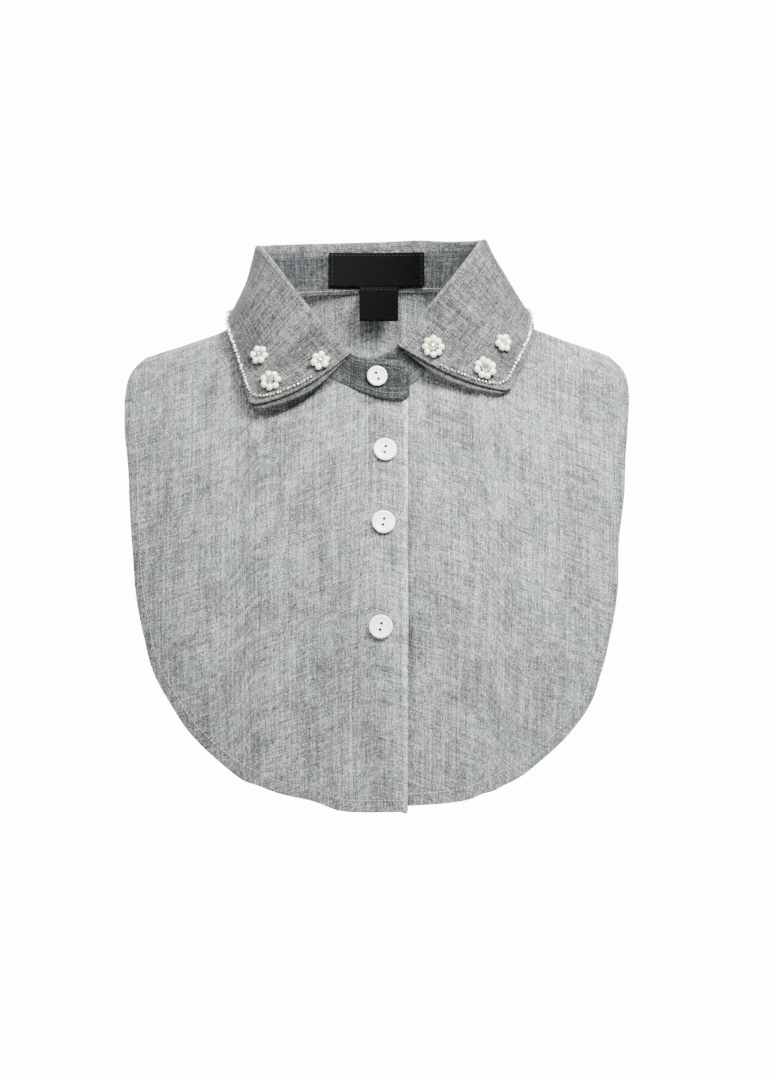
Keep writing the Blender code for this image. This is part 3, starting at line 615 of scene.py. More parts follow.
def satin():
    made, tree, shader = new_finish("black_satin", Roughness=0.5)
    shader.inputs["Specular IOR Level"].default_value = 0.03
    coords = put(tree, "ShaderNodeUVMap", uv_map="cloth").outputs["UV"]
    weave = threads(tree, coords, 6, 0.5, 9.1)
    tree.links.new(ramp(tree, weave, (0.3, "#020203"), (0.75, "#08080a")), shader.inputs["Base Color"])
    bump = put(tree, "ShaderNodeBump", {"Height": weave, "Strength": 0.3, "Distance": 0.15 * MM})
    tree.links.new(bump.outputs["Normal"], shader.inputs["Normal"])
    return made


def resin():
    made, tree, shader = new_finish("white_resin", Roughness=0.3, Coat_Weight=0.4, Coat_Roughness=0.12)
    cloud = object_noise(tree, 5)
    tree.links.new(ramp(tree, cloud, (0.3, "#f4f5f3"), (0.7, "#ffffff")), shader.inputs["Base Color"])
    return made


def pearl_lacquer():
    made, tree, shader = new_finish("pearl_lacquer", Roughness=0.22, Coat_Weight=1.0, Coat_Roughness=0.05,
                                    Subsurface_Weight=0.08)
    shader.inputs["Subsurface Radius"].default_value = (0.002, 0.0018, 0.0014)
    cloud = object_noise(tree, 2.2)
    tree.links.new(ramp(tree, cloud, (0.3, "#efe5c4"), (0.65, "#fefcee")), shader.inputs["Base Color"])
    bump = put(tree, "ShaderNodeBump", {"Height": cloud, "Strength": 0.15, "Distance": 0.2 * MM})
    tree.links.new(bump.outputs["Normal"], shader.inputs["Normal"])
    return made


def lined_glass():
    made, tree, shader = new_finish("silver_lined_glass", Roughness=0.14, Metallic=0.75, Coat_Weight=0.6,
                                    Coat_Roughness=0.04)
    cloud = object_noise(tree, 3.0, 0.0)
    tree.links.new(ramp(tree, cloud, (0.3, "#b9b5a4"), (0.6, "#f3f1ea")), shader.inputs["Base Color"])
    return made


def silver_pearl():
    made, tree, shader = new_finish("silver_white_bead", Roughness=0.16, Metallic=0.25, Coat_Weight=0.8,
                                    Coat_Roughness=0.05)
    cloud = object_noise(tree, 4.0, 0.0)
    tree.links.new(ramp(tree, cloud, (0.35, "#cfc9b4"), (0.6, "#fffdf6")), shader.inputs["Base Color"])
    return made


THREAD_FINISH = thread("cotton_thread", "#9fa19e", "#bfc1be")
STAND_THREAD = thread("grey_thread", "#505454", "#6c7070")
BLACK_THREAD = thread("black_thread", "#111113", "#1d1d20")
SATIN, RESIN, PEARL, GLASS, SILVER_PEARL = satin(), resin(), pearl_lacquer(), lined_glass(), silver_pearl()
print("made", SATIN.name, RESIN.name, PEARL.name, GLASS.name, SILVER_PEARL.name)

# %% [markdown]
# ## Making a piece of cloth
# A piece of cloth has two faces and an edge that is folded or turned, so it is never knife thin.
# `cloth_piece` takes a grid of points on the cloth, raises a face on each side by its own
# thickness, and closes the edge with a round roll. Where two plies meet, as at the edge of a
# collar, the roll has a groove along its middle.


# %% Cloth maker
def grid_normals(points):
    across = np.gradient(points, axis=0)
    down = np.gradient(points, axis=1)
    normals = np.cross(across, down)
    return normals / np.linalg.norm(normals, axis=2, keepdims=True)


def edge_loop(rows, columns):
    """Places of a grid's edge, all the way round."""
    loop = [(0, c) for c in range(columns)]
    loop += [(r, columns - 1) for r in range(1, rows)]
    loop += [(rows - 1, c) for c in range(columns - 2, -1, -1)]
    return loop + [(r, 0) for r in range(rows - 2, 0, -1)]


def cloth_piece(name, points, uvs, above, below, finish, groove=None, plies_and_painted_light=None, steps=8):
    """Cloth through a grid of points; above and below are its thickness on each side of them."""
    points, uvs = np.array(points, float), np.array(uvs, float)
    rows, columns = points.shape[:2]
    above = np.broadcast_to(above, (rows, columns))
    below = np.broadcast_to(below, (rows, columns))
    groove = np.broadcast_to(0.0 if groove is None else groove, (rows, columns))
    plies_and_painted_light = np.broadcast_to(0.0 if plies_and_painted_light is None else plies_and_painted_light, (rows, columns))
    normals = grid_normals(points)
    loop = edge_loop(rows, columns)
    r, c = np.array(loop).T
    edge, edge_up = points[r, c], normals[r, c]
    along = np.roll(edge, -1, 0) - np.roll(edge, 1, 0)
    out = np.cross(edge_up, along)
    out /= np.linalg.norm(out, axis=1, keepdims=True)
    uv_along = np.roll(uvs[r, c], -1, 0) - np.roll(uvs[r, c], 1, 0)
    uv_out = np.stack([uv_along[:, 1], -uv_along[:, 0]], 1)
    uv_out /= np.maximum(np.linalg.norm(uv_out, axis=1, keepdims=True), 1e-9)
    inward = uvs.reshape(-1, 2).mean(0) - uvs[r, c]
    uv_out *= -np.sign((uv_out * inward).sum(1, keepdims=True))
    reach = (above + below)[r, c] / 2
    layers = [points + normals * above[..., None], points - normals * below[..., None]]
    verts = [layer.reshape(-1, 3) for layer in layers]
    uv_list = [uvs.reshape(-1, 2)] * 2
    ply_and_light_list = [plies_and_painted_light.ravel()] * 2
    centre = edge + edge_up * ((above - below)[r, c] / 2)[:, None]
    for n in range(1, steps):
        angle = math.pi / 2 - math.pi * n / steps
        swell = math.cos(angle) * (1 - groove[r, c] * math.exp(-(angle / 0.35) ** 2))
        verts.append(centre + edge_up * (reach * math.sin(angle))[:, None] + out * (reach * swell)[:, None])
        uv_list.append(uvs[r, c] + uv_out * (reach * (math.pi / 2 - angle))[:, None])
        ply_and_light_list.append(plies_and_painted_light[r, c])
    verts, uv_list, plies_and_painted_light = np.concatenate(verts), np.concatenate(uv_list), np.concatenate(ply_and_light_list)
    half = rows * columns
    index = np.arange(half).reshape(rows, columns)
    quads = np.stack([index[:-1, :-1], index[1:, :-1], index[1:, 1:], index[:-1, 1:]], -1).reshape(-1, 4)
    faces = [quads, quads[:, ::-1] + half]
    ring = [index[r, c]] + [2 * half + len(loop) * n + np.arange(len(loop)) for n in range(steps - 1)]
    ring.append(index[r, c] + half)
    for upper, lower in zip(ring, ring[1:]):
        faces.append(np.stack([upper, np.roll(upper, -1), np.roll(lower, -1), lower], 1))
    faces = np.concatenate(faces)
    mesh = bpy.data.meshes.new(name)
    mesh.from_pydata(verts.tolist(), [], faces.tolist())
    layer = mesh.uv_layers.new(name="cloth")
    layer.data.foreach_set("uv", uv_list[faces.ravel()].ravel())
    # The plies attribute holds each point's extra plies together with painted shade and painted highlights.
    mesh.attributes.new("plies_and_painted_light", "FLOAT", "POINT").data.foreach_set("value", plies_and_painted_light)
    mesh.shade_smooth()
    made = bpy.data.objects.new(name, mesh)
    made.data.materials.append(finish)
    bpy.context.scene.collection.objects.link(made)
    print(name, len(faces) * 2, "triangles")
    return made


def dress(piece, *nodes, slot=None):
    """Lets a finished piece stand for its solids and move with them."""
    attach(piece, "root")
    if nodes:
        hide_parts(*nodes)
    return piece


# %% [markdown]
# ## The two fronts and the back
# Each panel is a fan of lines from the neck seam to its outer edge. Single cloth is thin, and
# 8 mm of it is turned back along the outer edge for the hem, so it is thicker there. Soft folds
# and ripples are added as a height over the form: a slow swell, small ripples, and a few folds
# that the photograph shows, listed in a table.

# %% Folds of the fronts
CLOTH_HALF = 0.6 * MM       # half the solid's wall
PLY = 0.55 * MM
HEM = 8 * MM
HEM_STITCH = 6.6 * MM       # hem's edge to its stitching
FOLDS = (
    # x, z at one end, x, z at the other, half width and height, all in mm
    (-16, -35, -74, -66, 7, -3.5),
    (20, -36, 78, -57, 7, -3.5),
    (-10, -55, 15, -55, 3.2, -3.2),
    (-6, -58, -4, -80, 4, -1.8),
    (2, -57, 3, -69, 3, 1.3),
    (12, -58, 12, -78, 4, -1.5),
    (26, -62, 32, -88, 7, 1.5),
    (-99, -50, -101, -165, 9, 1.9),
    (-46, -84, -20, -128, 17, 1.8),
    (48, -74, 30, -150, 13, -1.6),
    (86, -60, 100, -130, 14, 1.8),
    (24, -196, 84, -178, 12, 1.3),
    (-24, -176, -92, -192, 13, -1.3),
    (-60, -208, -66, -262, 9, 1.2),
    (-30, -226, -34, -288, 10, -1.3),
    (52, -214, 44, -280, 11, 1.3),
    (96, -222, 78, -262, 9, -1.5),
    (-122, -104, -116, -214, 10, 1.3),
    (128, -96, 116, -206, 11, 1.4),
    (-146, -166, -20, -163, 3, 0.4),
    (24, -170, 142, -175, 3, 0.4),
)


def fold_height(x, z):
    """Height of the listed folds at a place."""
    height = 0
    for x1, z1, x2, z2, wide, high in FOLDS:
        start, end = Vector((x1, z1)) * MM, Vector((x2, z2)) * MM
        line = end - start
        spot = Vector((x, z)) - start
        share = min(max(spot.dot(line) / line.length_squared, -0.25), 1.25)
        away = (spot - line * min(max(share, 0), 1)).length / (wide * MM)
        fade = 1 - smooth(0.5, 0.75, abs(share - 0.5))
        height += high * MM * math.exp(-away * away) * fade
    return height


TUCK = 8 * MM               # how far the lower end hangs in
STRIP_PLY = 0.7 * MM        # the buttoning strip is folded over once more
BESIDE_LAP = 3.4 * MM       # dip of the under front beside the lap
STRIP_LINE = (
    # z in mm, x of the strip's inner fold in mm
    (-310, -14.4),
    (-242, -15.8),
    (-204, -13.8),
    (-172, -11.6),
    (-140, -8.0),
    (-115, -5.7),
    (-50, -5.7),
)


def strip_line(z):
    """Where the buttoning strip's inner fold lies at a height."""
    return through(STRIP_LINE, 1, z / MM) * MM


def front_swell(x, z, side):
    """Swell of a front and the tuck of its lower end, which fade towards the buttoning strip."""
    swell = noise.noise(Vector((x / 0.060, z / 0.085, side * 7.3))) * 2.0 * MM
    over = smooth(-LAP_EDGE, 0, -x - 6 * MM)
    free = smooth(LAP_EDGE, LAP_EDGE + LAP_BLEND, x) if side == UNDER else over
    return (swell - TUCK * smooth(-190 * MM, -BIB_LENGTH, z)) * free


def front_relief(x, z, from_edge, side):
    """Height of swell, ripples and folds over the form of a front."""
    swell = front_swell(x, z, side if x > LAP_EDGE else OVER)
    ripple = noise.noise(Vector((x / 0.017, z / 0.030, 3.7 + side))) * 0.5 * MM
    pucker = noise.noise(Vector((x / 0.009, z / 0.009, 8.1))) * 0.4 * MM * (1 - smooth(0, 3 * HEM, from_edge))
    near_seam = smooth(0, 40 * MM, -z)
    height = (swell + fold_height(x, z)) * near_seam + ripple + pucker
    if side == OVER:
        return height + STRIP_PLY * smooth(0, 1.4 * MM, x - strip_line(z)) * smooth(52 * MM, 66 * MM, -z)
    return height - BESIDE_LAP * math.exp(-max(x - LAP_EDGE, 0) / (6 * MM)) * smooth(30 * MM, 90 * MM, -z)


# %% Panel maker
FORM_STEEP = CHEST_DEPTH ** 2 / FORM_FALL
STRIP_EDGE = 2.2 * MM
# Darkening of the hem band, a painted highlight along the over front's buttoning edge, and paleness along the strip's
# inner fold.
HEM_DARK, EDGE_HIGHLIGHT_PAINT, CREASE_PALE = 0.7, 4.0, 2.8
# Painted shadow beside the lap:
LAP_SHADOW_PAINT = ((2.4, 1.3 * MM), (0.5, 9 * MM))     # depth and reach
FAR = 1.0


def strip_pale(x, z):
    """Paleness along the inner fold of the buttoning strip, seen in its lower half."""
    return CREASE_PALE * math.exp(-((x - strip_line(z)) / (0.8 * MM)) ** 2) * smooth(100 * MM, 150 * MM, -z)


def painted_lap_shadow(x, z):
    """Painted shadow on the under front beside the lap, where the over front's folded edge stands over it."""
    away = x - LAP_EDGE - edge_sway(z)
    away = max(away, -5 * away)
    return sum(depth * math.exp(-away / reach) for depth, reach in LAP_SHADOW_PAINT) * smooth(60 * MM, 110 * MM, -z)


def cloth_length(x, z):
    """Length of cloth from the shoulder ridge down to a height, over the rounded form."""
    fall = max(ridge_height(x) - z, 0)
    depth = math.sqrt(FORM_STEEP * fall)
    steep = 2 * depth / FORM_STEEP
    return depth / 2 * math.sqrt(1 + steep * steep) + FORM_STEEP / 4 * math.asinh(steep)


def below_ridge(x, z):
    return Vector((x, max(ridge_height(x) - z, 0)))


def panel_rows(length, count):
    """Shares down a line of a panel, closer together at the seam and over the hem."""
    near_hem = [11, 9.5, 8.4, 7.8, 7.2, 6.6, 6.0, 5.0, 3.8, 2.6, 1.4, 0.5, 0]
    start = 1 - near_hem[0] * MM / length
    return [start * share ** 1.15 for share in shares(count)[:-1]] + [1 - d * MM / length for d in near_hem]


def panel_piece(name, lines, facing, depth, relief, finish, rows=64, strip=None, dark=None):
    """Panel of cloth from lines of (seam place, outer place, turn of the seam, distance to the buttoning edge)."""
    points, uvs, below, plies_and_painted_light, from_edges = [], [], [], [], []
    for start, end, turn, from_side in lines:
        rolled_edge = 1 - smooth(1.2 * MM, 3 * MM, from_side) if strip else 0
        length = (end - start).length
        seam = ring_plan(turn, 0)
        seam = Vector((seam.x + COLLAR_SHIFT, seam.y, seam_height(turn) + 0.5 * MM))
        line, uv, under, ply = [], [], [], []
        for share in panel_rows(length, rows):
            x, fall = mix(start, end, share)
            z = ridge_height(x) - fall
            point = Vector((x, depth(x, z) + facing * GAP / 2, z))
            if not line:
                shift = seam - point
            point += shift * math.exp(-share * length / (9 * MM))
            from_edge = (1 - share) * length
            line.append(point)
            uv.append((x, -cloth_length(x, z)))
            hem = 1 - smooth(HEM - 0.4 * MM, HEM + 0.8 * MM, from_edge)
            under.append(mix(mix(PLY - CLOTH_HALF, CLOTH_HALF, hem), STRIP_EDGE, rolled_edge))
            pale = strip(x, z) if strip else 0
            # painted shadow beside the lap, on the under front
            lap = dark(x, z) if dark else 0
            # Darker over the hem and with the painted shadow beside the lap; paler with the painted highlight along the
            # buttoning edge and along the strip's inner fold.
            ply.append(HEM_DARK * hem + lap - max(EDGE_HIGHLIGHT_PAINT * (1 - smooth(0.6 * MM, 2.4 * MM, from_side)), pale))
        points.append(line)
        uvs.append(uv)
        below.append(under)
        plies_and_painted_light.append(ply)
        from_edges.append([(1 - share) * length for share in panel_rows(length, rows)])
    points = np.array(points)
    normals = grid_normals(points)
    heights = np.array([[relief(p[0], p[2], from_edge) * smooth(1 * MM, 8 * MM, edges[0] - from_edge)
                         for p, from_edge in zip(row, edges)] for row, edges in zip(points, from_edges)])
    points = points + normals * heights[..., None]
    made = cloth_piece(name, points, uvs, CLOTH_HALF, np.array(below), finish, plies_and_painted_light=np.array(plies_and_painted_light))
    return made, points + grid_normals(points) * CLOTH_HALF, np.array(from_edges)


# %% Fronts
def front_lines(side, edge_x, hem_z, count=110, strip=46):
    """Lines of a front: from the shoulder round to the strip, then along the strip."""
    strip_x = COLLAR_SHIFT + side * STRIP_START
    column = 1 if side == OVER else 2
    outline = []
    for row in FRONT_OUTLINE:
        x, z = side * row[column] * BIB_HALF_WIDTH, -row[0] * BIB_LENGTH
        outline.append(below_ridge(x, z) if outline else Vector((x, 0)))
    outline.append(below_ridge(mix(strip_x, outline[-1].x, 0.4), mix(hem_z, z, 0.2)))
    outline.append(below_ridge(strip_x, hem_z))
    strip_turn = math.pi - math.asin(side * (strip_x - COLLAR_SHIFT) / NECK_HALF_WIDTH)
    lines = []
    for share in shares(count, 1.3):
        turn = side * mix(math.pi / 2, strip_turn, share ** 0.8)
        seam = below_ridge(COLLAR_SHIFT + NECK_HALF_WIDTH * math.sin(turn), seam_height(turn))
        lines.append((seam, along_points(outline, share), turn, FAR))
    for share in shares(strip)[1:]:
        x = mix(strip_x, edge_x, share)
        turn = side * (math.pi - math.asin(side * (x - COLLAR_SHIFT) / NECK_HALF_WIDTH))
        sway = edge_sway(-BIB_LENGTH) * share
        from_side = (1 - share) * abs(edge_x - strip_x)
        lines.append((below_ridge(x, seam_height(turn)), below_ridge(x + sway, hem_z), turn, from_side))
    return lines[::-1] if side == OVER else lines


fronts = {}
for name, side, edge_x, hem_z in (("front_over", OVER, LAP_EDGE, -BIB_LENGTH),
                                  ("front_under", UNDER, UNDER_EDGE, HEM_STEP - BIB_LENGTH)):
    fronts[name] = panel_piece(f"{name}_cloth", front_lines(side, edge_x, hem_z), -1,
                               lambda x, z: front_y(x, z, side),
                               lambda x, z, from_edge: front_relief(x, z, from_edge, side), CLOTH, rows=100,
                               strip=strip_pale if side == OVER else None,
                               dark=painted_lap_shadow if side == UNDER else None)
    dress(fronts[name][0], name, slot="chambray")


# %% Back
def back_lines(count=56):
    halves = []
    for side in (OVER, UNDER):
        outline = []
        for fall, width in BACK_OUTLINE:
            x, z = side * width * BIB_HALF_WIDTH, -fall * BACK_LENGTH
            outline.append(below_ridge(x, z) if outline else Vector((x, 0)))
        lines = []
        for share in shares(count, 1.6):
            turn = side * math.pi / 2 * (1 - share ** 0.8)
            seam = below_ridge(COLLAR_SHIFT + NECK_HALF_WIDTH * math.sin(turn), seam_height(turn))
            lines.append((seam, along_points(outline, share), turn, FAR))
        halves.append(lines)
    return halves[0] + halves[1][-2::-1]


def back_relief(x, z, from_edge):
    swell = noise.noise(Vector((x / 0.07, z / 0.09, 21.0))) * 1.6 * MM
    ripple = noise.noise(Vector((x / 0.018, z / 0.032, 5.0))) * 0.35 * MM
    return swell * smooth(0, 60 * MM, -z) + ripple


back_cloth, back_face, back_edges = panel_piece("back_cloth", back_lines(), 1, lambda x, z: panel_y(x, z, 1),
                                                back_relief, CLOTH, rows=56)
dress(back_cloth, "back_panel", slot="chambray")

# %% [markdown]
# ## The stand
# The stand is a stiff band, two plies with interlining between them. Its lower edge is turned in
# and sewn over the edge of the panels, so it reaches a little below the seam outside them.

# %% Stand
STAND_HALF = 0.8 * MM
STAND_LAP = 1.6 * MM
LAP_OUT = 0.9 * MM          # the sewn-over edge lies on the panel
TAB_OUT = 2.6 * MM          # and the tab's edge stands off it a little


def leaf_end(side):
    return abs(leaf_turn(side))


def tab_turn(side, past):
    """Turn at a distance past the middle of the throat."""
    return side * (math.pi + math.asin(past / NECK_HALF_WIDTH))


def stand_point(turn, level):
    """Middle of the stand's wall, where level is 0 at the seam and 1 at the top."""
    low = seam_height(turn) + GAP / 2
    end = leaf_end(collar_side(turn))
    high = stand_top(turn) + TAB_LIFT * smooth(end - 0.03, end + 0.07, abs(turn))
    if turn < 0 and past_middle(turn):
        high -= round_off(TAB_PAST - past_middle(turn), TAB_CORNER)
    point = ring_plan(turn, level)
    return Vector((point.x + COLLAR_SHIFT, point.y, mix(low, high, level)))


def stand_cloth():
    first, last = tab_turn(OVER, TAB_PAST), tab_turn(UNDER, UNDER_PAST)
    turns = [mix(first, -leaf_end(OVER), share) for share in shares(40)][:-1]
    turns += [mix(-leaf_end(OVER), leaf_end(UNDER), share) for share in shares(150)][:-1]
    turns += [mix(leaf_end(UNDER), last, share) for share in shares(28)]
    points, uvs = [], []
    length, before = 0, None
    for turn in turns:
        low, high = stand_point(turn, 0), stand_point(turn, 1)
        past = past_middle(turn) if turn < 0 else 0
        lap = STAND_LAP / (high - low).length * smooth(0, 4 * MM, TAB_PAST - past)
        stand_off = mix(LAP_OUT, TAB_OUT, smooth(leaf_end(OVER) - 0.1, leaf_end(OVER) + 0.1, -turn))
        column = []
        for share in shares(16):
            level = mix(-lap, 1, share)
            height = mix(low.z, high.z, level)
            point = stand_point(turn, max(level, 0))
            point.z = height
            crease = noise.noise(Vector((turn * 3.2, share * 1.4, 2.0))) * 0.25 * MM
            lifted = crease + stand_off * smooth(0.35, -lap, level)
            column.append(point + ring_out(turn) * lifted)
        length += (column[8] - before).length if before else 0
        before = column[8]
        points.append(column)
        uvs.append([(length, (high - low).length * share + 0.7) for share in shares(16)])
    # Painted shade: the tab and the under end of the stand, which lie in the shadow of the leaf, are made darker
    # through the plies attribute.
    painted_tab_shade = [(2.2 if turn < 0 else 2.8) * smooth(leaf_end(OVER) - 0.25, leaf_end(OVER), abs(turn)) for turn in turns]
    plies_and_painted_light = np.repeat(np.array(painted_tab_shade)[:, None], 17, 1)
    # Painted highlights: the lowest two rows, on the ledge over the seam, and the top two rows, along the fold, are
    # made paler.
    plies_and_painted_light[:, :2] -= 1.0
    plies_and_painted_light[:, -2:] -= 3.6
    return cloth_piece("stand_cloth", points, uvs, STAND_HALF, STAND_HALF, STAND_CLOTH, plies_and_painted_light=plies_and_painted_light), points


stand_piece, stand_grid = stand_cloth()
dress(stand_piece, "collar_stand", slot="chambray")

# %% [markdown]
# ## The leaf
# The leaf rises just outside the stand, rolls over, and falls to its edge. It is two plies, so
# the edge is thick and shows the groove where they meet. The outer ply is eased over the inner
# one, which gives the leaf its soft waves.

# %% Leaf
LEAF_HALF = 0.8 * MM
FOLD_RISE = 1.5 * MM        # unevenness of the fold's top
# The first is a painted highlight along the leaf's fold; the second makes the outer ply paler towards its edge.
FOLD_HIGHLIGHT_PAINT, EDGE_PALER = 1.5, 0.4
LEAF_CORNER = 3.5 * MM      # the points are turned, so they end a little round
SHOULDER_SHORT = 3 * MM     # the cloth pulls up a little over the shoulder


def leaf_wave(place, down):
    """Height of the soft waves of the leaf over its smooth form."""
    wave = noise.noise(Vector((place * 5.5, down * 1.2, 12.0))) * 1.9 * MM
    ripple = noise.noise(Vector((place * 16, down * 3.2, 33.0))) * 0.3 * MM
    return (wave + ripple) * smooth(0.05, 0.45, down) * smooth(0, 0.4, 1.35 - down)


def shoulder_place(place):
    """1 where the leaf's edge passes over the shoulder seam, fading to 0 on both sides."""
    return math.exp(-((abs(place) - 0.56) / 0.09) ** 2)


def leaf_places(place_end):
    """Places round the leaf, close together near its two ends."""
    fine = [place_end - 0.0025 * step for step in range(9)]
    between = [mix(-fine[-1], fine[-1], share) for share in shares(214)][1:-1]
    return [-place for place in fine] + between + fine[::-1]


def leaf_ply(name, place_end, short, shift, half, edge_half, from_fold, edge_pale_and_painted_shade=EDGE_PALER,
             taper=0):
    """One ply of the leaf: it ends short of the edge, and is shifted outward from the middle.
    Its front edges draw in towards the throat by the taper."""
    points, uvs, halves, plies_and_painted_light = [], [], [], []
    length, before = 0, None
    for place in leaf_places(place_end):
        turn = leaf_turn(place)
        out, top = ring_out(turn), roll_point(turn)
        seam = ring_plan(turn, 1)
        top.z += FOLD_RISE * noise.noise(Vector((place * 7, 1.7, 4.4)))
        column = []
        if from_fold:
            column.append(Vector((seam.x + COLLAR_SHIFT, seam.y, stand_top(turn) + GAP)))
            centre = top - Vector((0, 0, ROLL_RADIUS))
            for angle in (180, 157, 135, 112, 90, 67, 45, 22):
                swing = math.radians(angle)
                reach = ROLL_RADIUS + shift
                column.append(centre + reach * (out * math.cos(swing) + Vector((0, 0, math.sin(swing)))))
        fall = (leaf_point(place, 1) - leaf_point(place, 0)).length
        from_end = (place_end - abs(place)) * 230 * MM
        corner = round_off(from_end, LEAF_CORNER)
        edge_down = 1 - (short + corner + SHOULDER_SHORT * shoulder_place(place)) / max(fall, MM)
        first_down = 0 if from_fold else 0.06
        for share_down in shares(30):
            down = mix(first_down, edge_down, 1 - (1 - share_down) ** 1.5)
            here = place * (1 - taper * (1 - smooth(0.02, 0.45, down)))
            spot = leaf_point(here, down)
            flat_out = leaf_out(here, min(down, 0.98))
            column.append(spot + flat_out * (leaf_wave(place, min(down, 1)) + shift))
        run = [0]
        for a, b in zip(column, column[1:]):
            run.append(run[-1] + (b - a).length)
        length += (column[20] - before).length if before else 0
        before = column[20]
        points.append(column)
        uvs.append([(length, 1.4 - r) for r in run])
        swell = [1 - smooth(3.5 * MM, 6.5 * MM, min(run[-1] - r, from_end)) for r in run]
        halves.append([mix(half, edge_half, s) for s in swell])
        # Painted highlight: the cloth is made paler over the first few millimetres from the fold.
        fold_highlight = [1 - smooth(3 * MM, 9 * MM, r) if from_fold else 0 for r in run]
        # Along the edge the ply is made paler by the edge amount; a negative amount, as on the lining, is painted
        # shade.
        plies_and_painted_light.append([-FOLD_HIGHLIGHT_PAINT * w - edge_pale_and_painted_shade * s for w, s in zip(fold_highlight, swell)])
    return cloth_piece(name, points[::-1], uvs[::-1], np.array(halves[::-1]), np.array(halves[::-1]),
                       LEAF_CLOTH, plies_and_painted_light=np.array(plies_and_painted_light[::-1]))


leaf_piece = leaf_ply("leaf_cloth", 0.981, 1.0 * MM, 0.55 * MM, 0.5 * MM, 0.9 * MM, True)
# The lining's edge is darkened with painted shade, where it lies under the outer ply.
leaf_lining = leaf_ply("leaf_lining_cloth", 0.997, 1.2 * MM, -1.55 * MM, 0.45 * MM, 0.95 * MM, False, edge_pale_and_painted_shade=-0.8,
                       taper=0.014)
dress(leaf_lining, slot="chambray")
dress(leaf_piece, "collar_leaf", slot="chambray")

# %% [markdown]
# ## The labels
# Two labels are sewn inside the back of the stand: a wide one and a small one that hangs below
# it. Both are woven satin with a folded edge, and both are left bare.

# %% Labels
STAND_WALL, LABEL_WALL = 1.6 * MM, 0.8 * MM
LABEL_GAP, LABEL_BELOW = 0.9 * MM, 1.5 * MM
NECK_LABEL_SIZE = (61.5 * MM, 22 * MM)
CARE_LABEL_SIZE = (24.6 * MM, 22 * MM)
CARE_LABEL_OFFSET = 1.4 * MM
CARE_LABEL_SWING = 1.5 * MM


def inside_wall(x, z, inset):
    """Place inside the back of the stand, at a distance from the middle of its wall."""
    turn = math.asin((x - COLLAR_SHIFT) / (NECK_HALF_WIDTH + STAND_FLARE))
    low, high = seam_height(turn), stand_top(turn)
    level = min(max((z - low) / (high - low), 0), 1)
    point = ring_plan(turn, level) - ring_out(turn) * inset
    return Vector((x, point.y, z))


def label_piece(name, node, size, centre_x, top, swing):
    width, height = size
    inset = STAND_WALL / 2 + LABEL_WALL / 2 + LABEL_GAP
    points, uvs = [], []
    for across in shares(40):
        x = centre_x + width * (across - 0.5)
        column = [inside_wall(x, top - height * down, inset + swing * down) for down in shares(14)]
        points.append(column)
        uvs.append([(width * across, -height * down) for down in shares(14)])
    made = cloth_piece(name, points[::-1], uvs[::-1], 0.35 * MM, 0.35 * MM, SATIN, steps=6)
    dress(made, node, slot="label_satin")
    return made, points


label_top = NECK_BACK_HEIGHT + STAND_BACK - LABEL_BELOW
care_top = label_top - NECK_LABEL_SIZE[1] - GAP
neck_label, neck_label_grid = label_piece("neck_label_satin", "neck_label", NECK_LABEL_SIZE, 0.0, label_top, 0)
care_label, care_label_grid = label_piece("care_label_satin", "care_label", CARE_LABEL_SIZE, CARE_LABEL_OFFSET,
                                          care_top, CARE_LABEL_SWING)

# %% [markdown]
# ## Stitches
# A sewing machine lays one stitch after another along a line, all the same length, each sunk at
# its ends. Geometry Nodes does the same: the seam is drawn as a line, points are set along it at
# the stitch's pitch, and a slim oval is placed at each.


# %% Helpers for node modifiers
def new_tree(name, *inputs):
    """Geometry node tree with named inputs given as (name, socket type, value)."""
    tree = bpy.data.node_groups.new(name, "GeometryNodeTree")
    tree.interface.new_socket("Geometry", in_out="INPUT", socket_type="NodeSocketGeometry")
    for label, kind, value in inputs:
        tree.interface.new_socket(label, in_out="INPUT", socket_type=kind).default_value = value
    tree.interface.new_socket("Geometry", in_out="OUTPUT", socket_type="NodeSocketGeometry")
    return tree, put(tree, "NodeGroupInput").outputs


def end_tree(tree, instances, finish):
    """Realizes the instances, gives them their finish and sends them out."""
    real = put(tree, "GeometryNodeRealizeInstances", {"Geometry": instances}).outputs["Geometry"]
    dressed = put(tree, "GeometryNodeSetMaterial", {"Geometry": real, "Material": finish})
    put(tree, "NodeGroupOutput", {"Geometry": dressed.outputs["Geometry"]})


def grown(name, start, tree, **values):
    """Plain mesh that a tree grows from a start mesh; values are the tree's inputs."""
    source = bpy.data.objects.new(name + "_start", start)
    bpy.context.scene.collection.objects.link(source)
    modifier = source.modifiers.new("grow", "NODES")
    modifier.node_group = tree
    for socket in tree.interface.items_tree:
        if socket.in_out == "INPUT" and socket.name.lower().replace(" ", "_") in values:
            modifier[socket.identifier] = values[socket.name.lower().replace(" ", "_")]
    shaped = source.evaluated_get(bpy.context.evaluated_depsgraph_get())
    mesh = bpy.data.meshes.new_from_object(shaped)
    mesh.name = name
    source.modifiers.clear()
    bpy.data.objects.remove(source)
    made = bpy.data.objects.new(name, mesh)
    bpy.context.scene.collection.objects.link(made)
    print(name, sum(len(face.vertices) - 2 for face in mesh.polygons), "triangles")
    return made


def line_mesh(name, lines):
    """Mesh of open lines through the points of each."""
    verts, edges = [], []
    for line in lines:
        first = len(verts)
        verts += [tuple(point) for point in line]
        edges += [(n, n + 1) for n in range(first, len(verts) - 1)]
    mesh = bpy.data.meshes.new(name)
    mesh.from_pydata(verts, edges, [])
    return mesh


